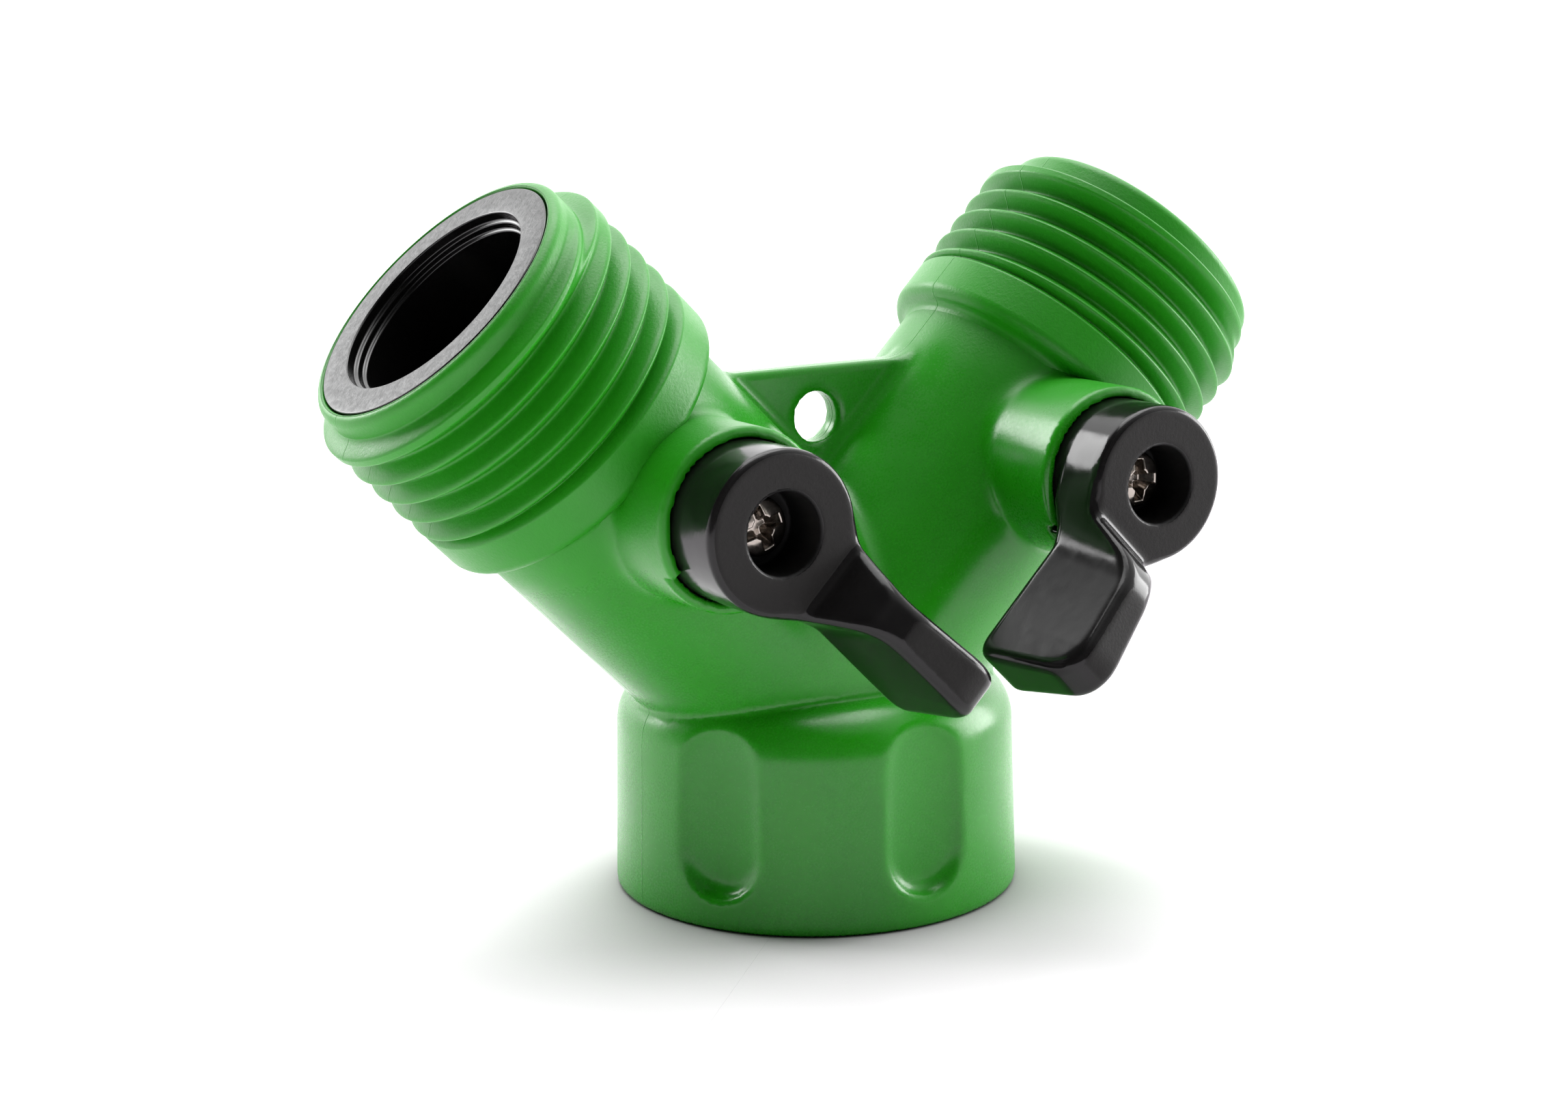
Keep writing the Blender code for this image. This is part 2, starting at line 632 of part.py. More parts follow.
def stem(name, frame, main, tools):
    """Stem with inner flange, O-ring groove, drive tongue and square end."""
    half = STEM_GROOVE_WIDTH / 2.0
    profile = [(0.0, STEM_SHOULDER), (STEM_RADIUS, STEM_SHOULDER),
               (STEM_RADIUS, STEM_GROOVE_HEIGHT + half),
               (STEM_GROOVE_FLOOR, STEM_GROOVE_HEIGHT + half),
               (STEM_GROOVE_FLOOR, STEM_GROOVE_HEIGHT - half),
               (STEM_RADIUS, STEM_GROOVE_HEIGHT - half),
               (STEM_RADIUS, STEM_FLANGE_TOP), (STEM_FLANGE_RADIUS, STEM_FLANGE_TOP),
               (STEM_FLANGE_RADIUS, STEM_FLANGE_BOTTOM), (0.0, STEM_FLANGE_BOTTOM)]
    item = place(lathe(name, profile, 24, main, black_plastic(name + "_black_plastic")), frame)
    side = STEM_SQUARE / 2.0
    square = box(name + "_square", (-side, -side, STEM_SHOULDER - JOIN_OVERLAP),
                 (side, side, STEM_TOP), tools)
    join(item, place(square, frame))
    tongue = box(name + "_tongue", (-STEM_TONGUE_HALF, -STEM_TONGUE_REACH, STEM_TONGUE_END),
                 (STEM_TONGUE_HALF, STEM_TONGUE_REACH, STEM_FLANGE_BOTTOM + JOIN_OVERLAP), tools)
    join(item, place(tongue, frame))
    top = STEM_TOP + CUT_PAST
    pilot = lathe(name + "_pilot", [(0.0, top), (STEM_PILOT, top),
                                    (STEM_PILOT, STEM_PILOT_END), (0.0, STEM_PILOT_END)], 16, tools)
    return cut(item, place(pilot, frame))


def blade_blank(name, collection):
    """Upright blade, thicker along its back edge than along its front."""
    bm = bmesh.new()
    sides = []
    for sign in (-1.0, 1.0):
        ring = []
        for a, b in BLADE_OUTLINE:
            height = b * MM
            part = (height - BLADE_BACK) / (BLADE_FRONT - BLADE_BACK)
            half = BLADE_BACK_HALF + (BLADE_FRONT_HALF - BLADE_BACK_HALF) * part
            ring.append(bm.verts.new((a * MM, sign * half, height)))
        sides.append(ring)
    bm.faces.new(sides[0])
    bm.faces.new(list(reversed(sides[1])))
    for i in range(len(BLADE_OUTLINE)):
        n = (i + 1) % len(BLADE_OUTLINE)
        bm.faces.new((sides[0][i], sides[1][i], sides[1][n], sides[0][n]))
    blade = mesh_object(name, bm, collection, smooth=False)
    bevel = blade.modifiers.new("Soft edges", 'BEVEL')
    bevel.width = BLADE_EDGE
    bevel.segments = 2
    bevel.limit_method = 'ANGLE'
    bevel.angle_limit = radians(50.0)
    return blade


def lever(name, frame, main, tools):
    """Hub with screw recess and square socket, neck and upright blade."""
    profile = [(HUB_SCREW_HOLE, HUB_RECESS_FLOOR), (HUB_RECESS, HUB_RECESS_FLOOR),
               (HUB_RECESS, HUB_FACE), (HUB_RADIUS - HUB_EDGE, HUB_FACE)]
    profile += quarter_round(HUB_RADIUS - HUB_EDGE, HUB_FACE - HUB_EDGE, HUB_EDGE,
                             pi / 2.0, 0.0, 2)[1:]
    profile += [(HUB_RADIUS, HUB_BOTTOM), (HUB_SCREW_HOLE, HUB_BOTTOM),
                (HUB_SCREW_HOLE, HUB_RECESS_FLOOR)]
    item = place(lathe(name, profile, 32, main, black_plastic(name + "_black_plastic")), frame)
    past = HUB_RADIUS + CUT_PAST
    chord = box(name + "_chord", (HUB_CHORD, -past, NECK_TOP - JOIN_OVERLAP),
                (past, past, HUB_FACE + CUT_PAST), tools)
    cut(item, place(chord, frame))
    outline = [(a * MM, b * MM) for a, b in NECK_OUTLINE]
    outline += [(a * MM, -b * MM) for a, b in reversed(NECK_OUTLINE)]
    neck = prism(name + "_neck", outline, lambda a, b: (a, b, NECK_BOTTOM),
                 (0.0, 0.0, NECK_TOP - NECK_BOTTOM), tools)
    join(item, place(neck, frame))
    join(item, place(blade_blank(name + "_blade", tools), frame))
    lug = box(name + "_stop_lug", (HUB_RADIUS - 2.0 * JOIN_OVERLAP, -STOP_LUG_HALF, STOP_LUG_BOTTOM),
              (STOP_LUG_REACH, STOP_LUG_HALF, NECK_BOTTOM + JOIN_OVERLAP), tools)
    join(item, place(lug, frame))
    half = HUB_SOCKET / 2.0
    socket = box(name + "_socket", (-half, -half, HUB_BOTTOM - CUT_PAST),
                 (half, half, HUB_SOCKET_TOP), tools)
    return cut(item, place(socket, frame))


def screw(name, frame, main, tools):
    """Self-tapping screw with a cross recess, holding lever to stem."""
    profile = [(0.0, SCREW_HEAD_TOP), (SCREW_HEAD_RADIUS - SCREW_HEAD_EDGE, SCREW_HEAD_TOP),
               (SCREW_HEAD_RADIUS, SCREW_HEAD_TOP - SCREW_HEAD_EDGE),
               (SCREW_HEAD_RADIUS, SCREW_HEAD_BOTTOM), (SCREW_SHANK, SCREW_HEAD_BOTTOM),
               (SCREW_SHANK, SCREW_TIP + SCREW_POINT), (0.0, SCREW_TIP)]
    item = place(lathe(name, profile, 20, main, nickel_steel(name + "_nickel_steel")), frame)
    reach = SCREW_CROSS_REACH
    half = SCREW_CROSS_HALF
    arm = ((half, half), (half, reach), (-half, reach))
    outline = []
    for a, b in arm:
        outline.append((a, b))
    for a, b in arm:
        outline.append((-b, a))
    for a, b in arm:
        outline.append((-a, -b))
    for a, b in arm:
        outline.append((b, -a))
    cross = prism(name + "_cross", outline,
                  lambda a, b: (a, b, SCREW_HEAD_TOP - SCREW_CROSS_DEPTH),
                  (0.0, 0.0, SCREW_CROSS_DEPTH + CUT_PAST), tools)
    return cut(item, place(cross, frame))


def build_valve(label, frames, main, tools):
    arm = frames["arm"]
    valve = frames["valve"]
    seat(label + "_inner_seat", -1.0, arm, main)
    seat(label + "_outer_seat", 1.0, arm, main)
    retainer(label + "_seat_retainer", arm, main)
    o_ring(label + "_retainer_o_ring", RETAINER_RING_RADIUS, RETAINER_RING_SECTION,
           OUTLET_AHEAD - RETAINER_GROOVE_BEHIND, arm, main)
    ball(label + "_ball", valve, main, tools)
    stem(label + "_stem", valve, main, tools)
    o_ring(label + "_stem_o_ring", STEM_RING_RADIUS, STEM_RING_SECTION,
           STEM_GROOVE_HEIGHT, valve, main)
    lever(label + "_lever", valve, main, tools)
    screw(label + "_lever_screw", valve, main, tools)


def build():
    clear_scene()
    main = new_collection("hose_splitter")
    tools = new_collection("cutters")
    frames = {}
    for label, side in SIDES:
        frames[label] = {
            "arm": empty(label + "_arm_axis", arm_matrix(side), main),
            "valve": empty(label + "_valve_axis", valve_matrix(side), main),
        }
    build_body(main, tools, frames)
    washer(main)
    for label, side in SIDES:
        build_valve(label, frames[label], main, tools)


build()
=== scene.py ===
"""Looks of the two-way hose splitter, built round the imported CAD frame.

Every moulded piece is a smooth closed mesh drawn from a distance field, and
every turned piece is a fine revolved profile.  Fields work in millimetres in
the object's own frame; meshes are made in metres.
"""

import json
from math import cos, pi, radians, sin, sqrt

import bpy
import numpy as np
from mathutils import Matrix, Vector


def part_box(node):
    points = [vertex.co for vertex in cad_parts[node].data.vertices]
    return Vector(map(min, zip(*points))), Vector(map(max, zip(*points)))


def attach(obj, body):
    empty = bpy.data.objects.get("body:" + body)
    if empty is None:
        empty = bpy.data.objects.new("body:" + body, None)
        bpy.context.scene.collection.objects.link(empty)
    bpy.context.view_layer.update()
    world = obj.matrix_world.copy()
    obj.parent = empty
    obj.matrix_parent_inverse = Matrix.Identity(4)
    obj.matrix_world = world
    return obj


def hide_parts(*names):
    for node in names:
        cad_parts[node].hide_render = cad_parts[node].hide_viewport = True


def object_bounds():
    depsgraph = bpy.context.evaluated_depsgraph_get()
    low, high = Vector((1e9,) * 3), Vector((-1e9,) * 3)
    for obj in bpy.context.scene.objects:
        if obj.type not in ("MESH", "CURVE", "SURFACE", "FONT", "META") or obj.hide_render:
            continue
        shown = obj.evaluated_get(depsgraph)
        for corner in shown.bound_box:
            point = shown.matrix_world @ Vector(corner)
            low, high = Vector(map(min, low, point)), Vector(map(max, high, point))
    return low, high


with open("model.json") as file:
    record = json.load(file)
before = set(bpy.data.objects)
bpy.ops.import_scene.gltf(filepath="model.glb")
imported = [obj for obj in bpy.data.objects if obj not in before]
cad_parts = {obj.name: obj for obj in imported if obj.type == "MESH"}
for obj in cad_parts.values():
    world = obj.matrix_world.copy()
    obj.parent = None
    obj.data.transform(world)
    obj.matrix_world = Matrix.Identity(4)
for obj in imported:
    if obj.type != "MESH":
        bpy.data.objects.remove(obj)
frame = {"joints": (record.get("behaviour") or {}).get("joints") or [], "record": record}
CAD_LOW, CAD_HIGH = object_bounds()

MM = 0.001
TILT = sqrt(0.5)                 # sine and cosine of the arms' lean
SIDES = (("left", -1.0), ("right", 1.0))


# ---- places taken from the frame ----------------------------------------
def mm(vector):
    return [v * 1000.0 for v in vector]


JOINTS = {joint["child"]: joint for joint in frame["joints"]}
MOUNTS = {mount["name"]: mount for mount in frame["record"]["mounts"]}
BALL_X = abs(mm(JOINTS["right_valve"]["pos_m"])[0])
BALL_Z = mm(JOINTS["right_valve"]["pos_m"])[2]
CROSS_Z = BALL_Z - BALL_X        # both arm axes cross the cuff axis here
OUTLET = sqrt(2.0) * abs(mm(MOUNTS["right_outlet_face"]["pos_m"])[0])
BALL = sqrt(2.0) * BALL_X        # crossing to ball centre, along the arm


# ---- distance field helpers, millimetres ---------------------------------
def soft_min(a, b, k):
    h = np.maximum(k - np.abs(a - b), 0.0) / k
    return np.minimum(a, b) - h * h * k * 0.25


def soft_max(a, b, k):
    return -soft_min(-a, -b, k)


def smooth(t):
    t = np.clip(t, 0.0, 1.0)
    return t * t * (3.0 - 2.0 * t)


def corner(u, v, radius):
    """Distance to the quadrant u < 0, v < 0 with a round corner."""
    qu = u + radius
    qv = v + radius
    outside = np.hypot(np.maximum(qu, 0.0), np.maximum(qv, 0.0))
    return outside + np.minimum(np.maximum(qu, qv), 0.0) - radius


def slab(v, low, high):
    return np.maximum(low - v, v - high)


def polygon(px, py, points):
    """Signed distance to a closed polygon, negative inside."""
    best = np.full(np.shape(px), 1.0e9)
    inside = np.zeros(np.shape(px), bool)
    for (ax, ay), (bx, by) in zip(points, points[1:] + points[:1]):
        ex, ey = bx - ax, by - ay
        wx, wy = px - ax, py - ay
        t = np.clip((wx * ex + wy * ey) / (ex * ex + ey * ey), 0.0, 1.0)
        best = np.minimum(best, (wx - ex * t) ** 2 + (wy - ey * t) ** 2)
        if ey != 0.0:
            crosses = (ay > py) != (by > py)
            inside ^= crosses & (px < ex * wy / ey + ax)
    return np.sqrt(best) * np.where(inside, -1.0, 1.0)


# ---- field to closed mesh ------------------------------------------------
BLOCK = 6


def sample(field, axes, step):
    """Field on a grid, worked out in full only in blocks near the surface."""
    shape = [len(a) for a in axes]
    centres = []
    for a in axes:
        count = -(-len(a) // BLOCK)
        centres.append(a[0] + (np.arange(count) + 0.5) * BLOCK * step - 0.5 * step)
    cx, cy, cz = np.meshgrid(*centres, indexing="ij")
    rough = field(cx.ravel(), cy.ravel(), cz.ravel()).reshape(cx.shape)
    reach = 0.5 * sqrt(3.0) * BLOCK * step * 1.35 + 0.4

    def spread(block):
        for axis in range(3):
            block = np.repeat(block, BLOCK, axis=axis)
        return block[:shape[0], :shape[1], :shape[2]]

    values = spread(rough).astype(np.float32)
    near = np.nonzero(spread(np.abs(rough) < reach))
    found = np.empty(len(near[0]), np.float32)
    for i in range(0, len(found), 400000):
        part = slice(i, i + 400000)
        found[part] = field(*(axes[k][near[k][part]] for k in range(3)))
    values[near] = found
    return values


def settle(field, points, step, rounds=3):
    """Moves points onto the surface along the field's gradient."""
    eps = 0.03
    for _ in range(rounds):
        x, y, z = points.T
        value = field(x, y, z)
        grad = np.stack([
            field(x + eps, y, z) - field(x - eps, y, z),
            field(x, y + eps, z) - field(x, y - eps, z),
            field(x, y, z + eps) - field(x, y, z - eps)], 1) / (2.0 * eps)
        size = np.maximum((grad ** 2).sum(1), 0.05)
        move = np.clip(value / np.sqrt(size), -0.5 * step, 0.5 * step)
        points = points - (move / np.sqrt(size))[:, None] * grad
    return points


def field_mesh(name, field, low, high, step):
    """Closed mesh of field = 0 by surface nets."""
    axes = [np.arange(low[k] - 2.0 * step, high[k] + 3.0 * step, step) for k in range(3)]
    values = sample(field, axes, step)
    inside = values < 0.0
    total = np.zeros([n - 1 for n in inside.shape], np.int8)
    for i in (0, 1):
        for j in (0, 1):
            for k in (0, 1):
                total += inside[i:inside.shape[0] - 1 + i,
                                j:inside.shape[1] - 1 + j,
                                k:inside.shape[2] - 1 + k]
    cells = np.argwhere((total > 0) & (total < 8))
    index = np.full(total.shape, -1, np.int64)
    index[tuple(cells.T)] = np.arange(len(cells))
    points = np.zeros((len(cells), 3))
    count = np.zeros(len(cells))
    for axis in range(3):
        b, c = (axis + 1) % 3, (axis + 2) % 3
        for ob in (0, 1):
            for oc in (0, 1):
                first = np.zeros(3, int)
                first[b], first[c] = ob, oc
                second = first.copy()
                second[axis] = 1
                v0 = values[tuple((cells + first).T)]
                v1 = values[tuple((cells + second).T)]
                crosses = (v0 < 0.0) != (v1 < 0.0)
                share = np.where(crosses, v0 / np.where(crosses, v0 - v1, 1.0), 0.0)
                spot = np.zeros((len(cells), 3)) + first
                spot[:, axis] = share
                points += spot * crosses[:, None]
                count += crosses
    origin = np.array([a[0] for a in axes])
    points = origin + (cells + points / count[:, None]) * step
    points = settle(field, points, step)
    faces = []
    for axis in range(3):
        b, c = (axis + 1) % 3, (axis + 2) % 3
        one = [slice(None)] * 3
        two = [slice(None)] * 3
        one[axis], two[axis] = slice(None, -1), slice(1, None)
        flips = inside[tuple(one)] != inside[tuple(two)]
        at = np.argwhere(flips)
        out = inside[tuple(one)][tuple(at.T)]
        ring = []
        for ob, oc in ((-1, -1), (0, -1), (0, 0), (-1, 0)):
            cell = at.copy()
            cell[:, b] += ob
            cell[:, c] += oc
            ring.append(index[tuple(cell.T)])
        quad = np.stack(ring, 1)
        quad[~out] = quad[~out][:, ::-1]
        faces.append(quad)
    faces = np.concatenate(faces)
    return new_mesh(name, points * MM, faces)


def new_mesh(name, points, faces):
    mesh = bpy.data.meshes.new(name)
    mesh.vertices.add(len(points))
    mesh.vertices.foreach_set("co", np.asarray(points, np.float32).ravel())
    mesh.loops.add(faces.size)
    mesh.loops.foreach_set("vertex_index", faces.astype(np.int32).ravel())
    mesh.polygons.add(len(faces))
    starts = np.arange(len(faces), dtype=np.int32) * faces.shape[1]
    mesh.polygons.foreach_set("loop_start", starts)
    mesh.update(calc_edges=True)
    mesh.validate()
    mesh.shade_smooth()
    item = bpy.data.objects.new(name, mesh)
    bpy.context.scene.collection.objects.link(item)
    return item


# ---- turned pieces -------------------------------------------------------
def fillet(profile, radius, count=4):
    """Closed profile with every corner rounded."""
    soft = []
    size = len(profile)
    for i in range(size):
        before = np.array(profile[i - 1], float)
        here = np.array(profile[i], float)
        after = np.array(profile[(i + 1) % size], float)
        back = before - here
        ahead = after - here
        room = 0.45 * min(np.hypot(*back), np.hypot(*ahead))
        reach = min(radius, room)
        start = here + back / np.hypot(*back) * reach
        stop = here + ahead / np.hypot(*ahead) * reach
        for k in range(count + 1):
            t = k / count
            soft.append((1 - t) ** 2 * start + 2 * t * (1 - t) * here + t * t * stop)
    return soft


def turned(name, profile, matrix, steps=160, radius=0.12):
    """Ring of the given closed radius/height profile about local Z, in mm."""
    soft = fillet(profile, radius)
    count = len(soft)
    points = []
    for i in range(steps):
        angle = 2.0 * pi * i / steps
        for r, z in soft:
            points.append((r * cos(angle), r * sin(angle), z))
    faces = []
    for i in range(steps):
        j = (i + 1) % steps
        for k in range(count):
            n = (k + 1) % count
            faces.append((i * count + k, i * count + n, j * count + n, j * count + k))
    area = sum(a[0] * b[1] - b[0] * a[1] for a, b in zip(soft, soft[1:] + soft[:1]))
    faces = np.array(faces)
    if area > 0.0:
        faces = faces[:, ::-1]
    item = new_mesh(name, np.array(points) * MM, faces)
    item.data.transform(matrix)
    item.data.update()
    return item


# ---- local frames --------------------------------------------------------
def frame_matrix(x_axis, y_axis, z_axis, origin):
    matrix = Matrix((x_axis, y_axis, z_axis)).transposed().to_4x4()
    matrix.translation = Vector(origin) * MM
    return matrix


def arm_matrix(side):
    """Local +Z out along the arm, origin at the ball centre."""
    out = Vector((side * TILT, 0.0, TILT))
    across = Vector((0.0, -1.0, 0.0))
    return frame_matrix(across, out.cross(across), out, (side * BALL_X, 0.0, BALL_Z))


def valve_axes(side, x, y, z):
    """Distance along the open lever, across it, and out from the ball."""
    dx = x - side * BALL_X
    dz = z - BALL_Z
    along = (-side * dx - dz) * TILT
    across = (dx - side * dz) * TILT
    return along, across, -y


# ---- body ----------------------------------------------------------------
PITCH = 2.209                    # hose thread, 11.5 turns to the inch
CREST = 13.50
ROOT = 12.00
FLANK_FOOT = 0.96                # from the crest's middle to the flank's foot
FLANK = 0.80
FIRST_CREST = {-1.0: 2.60, 1.0: 2.80}   # behind the outlet face, at the front
LEAD_START = 1.05                # the ramp before the first crest
LEAD_SHIFT = 1.15                # how much deeper it starts after one turn
LEAD_LENGTH = 0.75
LEAD_BLEND = 0.78                # share of the turn where the ramp closes up
THREAD_END = 12.5
THREAD_FADE = 0.8
RIM = 12.00
RIM_ROUND = 0.75
RIM_END = 1.5
COLLAR = 13.45
COLLAR_START = 11.6
COLLAR_RISE = 1.5
COLLAR_END = 16.75
COLLAR_ROUND = 1.0
POCKET = 11.14
POCKET_DEPTH = 3.3
CHAMBER = 10.0
CHAMBER_BACK = 8.9               # from the ball centre towards the crossing
PASSAGE = 6.0
ARM = 11.78
CUFF_FOOT = 16.72
CUFF_DRAFT = 0.0240
CUFF_TOP = 17.9
CUFF_SHOULDER = 4.0
CUFF_EDGE = 0.7
GRIP_BEARINGS = (-150.0, -90.0, 30.0, 90.0)
GRIP_AXIS = 29.65
GRIP_RADIUS = 14.2
GRIP_Z = 9.65
GRIP_STRAIGHT = 3.1              # half of the straight part of its sides
GRIP_HALF = 4.0
WEB_FOOT = 28.0
WEB_TOP = 43.0
WEB_HALF = 1.065
WEB_HOLE_Z = 38.87
WEB_HOLE = 2.06
BOSS = 7.08
BOSS_RIM = 18.2
BOSS_BORE = 6.24
BOSS_FLOOR = 14.6
SPINDLE_BORE = 4.5
FLANGE_BORE = 5.6
FLANGE_TOP = 10.0
BORES_START = 4.0
STOP_FLOOR = 16.95
STOP_MARGIN = 0.25               # radians kept free past both ends
STOP_REACH = 9.5
INLET_CREST = 12.6
INLET_THREAD = 0.95
INLET_FIRST = 1.8
SOCKET_DEPTH = 13.6
MOUTH = 13.75
MOUTH_DEPTH = 2.4
THROAT = 7.5
SLEEVE_ROW = 0.056
SLEEVE_STEPS = 280
ARC_STEPS = 8


def thread_wave(v):
    """Share of the thread's height at v turns from the nearest crest."""
    d = np.abs(v - np.round(v)) * PITCH
    flank = soft_max((FLANK_FOOT - d) / FLANK, 0.0, 0.16)
    return soft_min(flank, 1.0, 0.24)


def thread_height(t, turn, first):
    """Ridge from its first crest on, with the ramp that leads up to it."""
    v = (t - first) / PITCH - turn
    ramp = smooth((t - first + LEAD_START - LEAD_SHIFT * turn) / LEAD_LENGTH)
    wave = thread_wave(v)
    return np.where(v < 0.0, np.maximum(ramp, wave * (v > -0.5)), wave)


def thread_radius(t, angle, first):
    """Outside radius t behind the outlet face; angle 0 is the front."""
    turn = np.mod(-angle / (2.0 * pi), 1.0)
    early = thread_height(t, turn, first)
    late = thread_height(t, turn - 1.0, first)
    height = early + (late - early) * smooth((turn - LEAD_BLEND) / (1.0 - LEAD_BLEND))
    height = height * (1.0 - smooth((t - THREAD_END) / THREAD_FADE))
    root = RIM + (ROOT - RIM) * smooth(t - RIM_END)
    radius = root + (CREST - root) * height
    under = ROOT - 1.0
    collar = under + (COLLAR - under) * smooth((t - COLLAR_START) / COLLAR_RISE)
    return soft_max(radius, collar, 0.15)


def arc_steps():
    """Cosine and sine in even steps over a quarter turn."""
    return [(cos(0.5 * pi * i / ARC_STEPS), sin(0.5 * pi * i / ARC_STEPS)) for i in range(ARC_STEPS + 1)]


def sleeve_stations(angle, first):
    """Outline of the threaded end round its wall, as depth and radius."""
    pocket = [(POCKET_DEPTH, CHAMBER + 0.1), (POCKET_DEPTH, POCKET - 0.1),
              (POCKET_DEPTH - 0.15, POCKET), (0.30, POCKET), (0.12, POCKET + 0.03),
              (0.03, POCKET + 0.10), (0.0, POCKET + 0.22)]
    rim = [(RIM_ROUND * (1.0 - c), RIM - RIM_ROUND * (1.0 - s)) for c, s in arc_steps()]
    collar = [(COLLAR_END - COLLAR_ROUND * (1.0 - s), COLLAR - COLLAR_ROUND * (1.0 - c))
              for c, s in arc_steps()]
    tail = [(COLLAR_END + 0.10, 12.15), (COLLAR_END + 0.22, 11.97), (COLLAR_END + 0.42, 11.84),
            (COLLAR_END + 0.75, 11.77), (COLLAR_END + 1.1, 11.70), (COLLAR_END + 1.1, 10.6),
            (COLLAR_END + 0.4, CHAMBER), (POCKET_DEPTH + 0.15, CHAMBER)]

    def rings(rows):
        return [(np.full_like(angle, t), np.full_like(angle, r)) for t, r in rows]

    threaded = [np.full_like(angle, t)
                for t in np.arange(RIM_ROUND + 0.12, COLLAR_END - COLLAR_ROUND, SLEEVE_ROW)]
    thread = [(t, thread_radius(t, angle, first)) for t in threaded]
    return rings(pocket + rim) + thread + rings(collar + tail)


def sleeve(name, side):
    """Threaded end of one arm, moulded in one with the body."""
    steps = SLEEVE_STEPS
    angle = 2.0 * pi * np.arange(steps) / steps
    stations = sleeve_stations(angle, FIRST_CREST[side])
    points = []
    for t, r in stations:
        along = OUTLET - t
        across = r * np.sin(angle)
        points.append(np.stack([(side * along + across) * TILT, -r * np.cos(angle),
                                CROSS_Z + (along - side * across) * TILT], 1))
    count = len(stations)
    j, i = np.meshgrid(np.arange(count), np.arange(steps), indexing="ij")
    j, i = j.ravel(), i.ravel()
    k, n = (j + 1) % count, (i + 1) % steps
    faces = np.stack([j * steps + i, j * steps + n, k * steps + n, k * steps + i], 1)
    if side > 0.0:
        faces = faces[:, ::-1]
    return new_mesh(name, np.concatenate(points) * MM, faces)


def arm_axes(side, x, y, z):
    """Distance along the arm from the crossing, and radius about it."""
    dz = z - CROSS_Z
    return (side * x + dz) * TILT, np.hypot(y, (x - side * dz) * TILT)


def arm_outside(side, x, y, z):
    """Plain tube of the arm, from inside the collar to the mid plane."""
    along, r = arm_axes(side, x, y, z)
    tube = corner(r - ARM, COLLAR_END - 0.6 - (OUTLET - along), 0.5)
    return np.maximum(tube, -side * x)


def cuff_outside(x, y, z):
    r = np.hypot(x, y)
    wall = CUFF_FOOT - CUFF_DRAFT * z
    cuff = corner(r - wall, z - CUFF_TOP, CUFF_SHOULDER)
    cuff = soft_max(cuff, -z, CUFF_EDGE)
    for way in GRIP_BEARINGS:
        away_x, away_y = cos(radians(way)), sin(radians(way))
        scoop = np.hypot(x - GRIP_AXIS * away_x, y - GRIP_AXIS * away_y) - GRIP_RADIUS
        sideways = y * away_x - x * away_y
        past = np.maximum(np.abs(z - GRIP_Z) - GRIP_STRAIGHT, 0.0)
        outline = np.hypot(sideways, past) - GRIP_HALF
        grip = soft_max(soft_max(scoop, outline, 1.4), -x * away_x - y * away_y, 0.1)
        cuff = soft_max(cuff, -grip, 0.35)
    return cuff


def boss_outside(side, x, y, z):
    rho = np.hypot(x - side * BALL_X, z - BALL_Z)
    return np.maximum(corner(rho - BOSS, -y - BOSS_RIM, 0.35), 2.0 + y)


def web_outside(x, y, z):
    plate = corner(np.abs(y) - WEB_HALF, z - WEB_TOP, 0.35)
    plate = np.maximum(plate, (np.abs(x) - (z - CROSS_Z) + 4.0) * TILT)
    return np.maximum(plate, WEB_FOOT - z)


def arm_inside(side, x, y, z):
    along, r = arm_axes(side, x, y, z)
    chamber = np.maximum(r - CHAMBER, slab(along, BALL - CHAMBER_BACK, OUTLET))
    passage = np.maximum(r - PASSAGE, slab(along, 0.0, BALL))
    return np.minimum(chamber, passage)


def boss_inside(side, x, y, z):
    """Stepped bore for hub and spindle, and the pocket of the stop lug."""
    along, across, h = valve_axes(side, x, y, z)
    rho = np.hypot(along, across)
    hole = np.maximum(rho - BOSS_BORE, BOSS_FLOOR - h)
    hole = np.minimum(hole, np.maximum(rho - SPINDLE_BORE, BORES_START - h))
    hole = np.minimum(hole, np.maximum(rho - FLANGE_BORE, slab(h, BORES_START, FLANGE_TOP)))
    angle = np.arctan2(side * across, along)   # grows as the lever closes
    middle = pi / 4.0
    sector = (np.abs(angle - middle) - (middle + STOP_MARGIN)) * np.maximum(rho, 2.0)
    stop = soft_max(sector, STOP_FLOOR - h, 0.35)
    stop = np.maximum(stop, rho - STOP_REACH)
    return np.minimum(hole, stop)


def inlet_inside(x, y, z):
    """Threaded socket with a flared mouth, and the throat above it."""
    r = np.hypot(x, y)
    angle = np.arctan2(y, x)
    v = (z - INLET_FIRST) / PITCH - angle / (2.0 * pi)
    wave = thread_wave(v) * smooth(z / 1.6) * (1.0 - smooth((z - 7.4) / 1.2))
    socket = np.maximum((r - INLET_CREST - INLET_THREAD * wave) * 0.86, z - SOCKET_DEPTH)
    flare = 0.7 * np.maximum(z - 0.6, 0.0)
    mouth = np.maximum((r - MOUTH + flare) * 0.8, z - MOUTH_DEPTH)
    socket = soft_min(socket, mouth, 0.4)
    cone = np.maximum(z - CROSS_Z + 0.5, 0.0)
    throat = np.maximum(r - THROAT + cone, z - CROSS_Z - 1.5)
    return soft_min(socket, throat, 0.3)


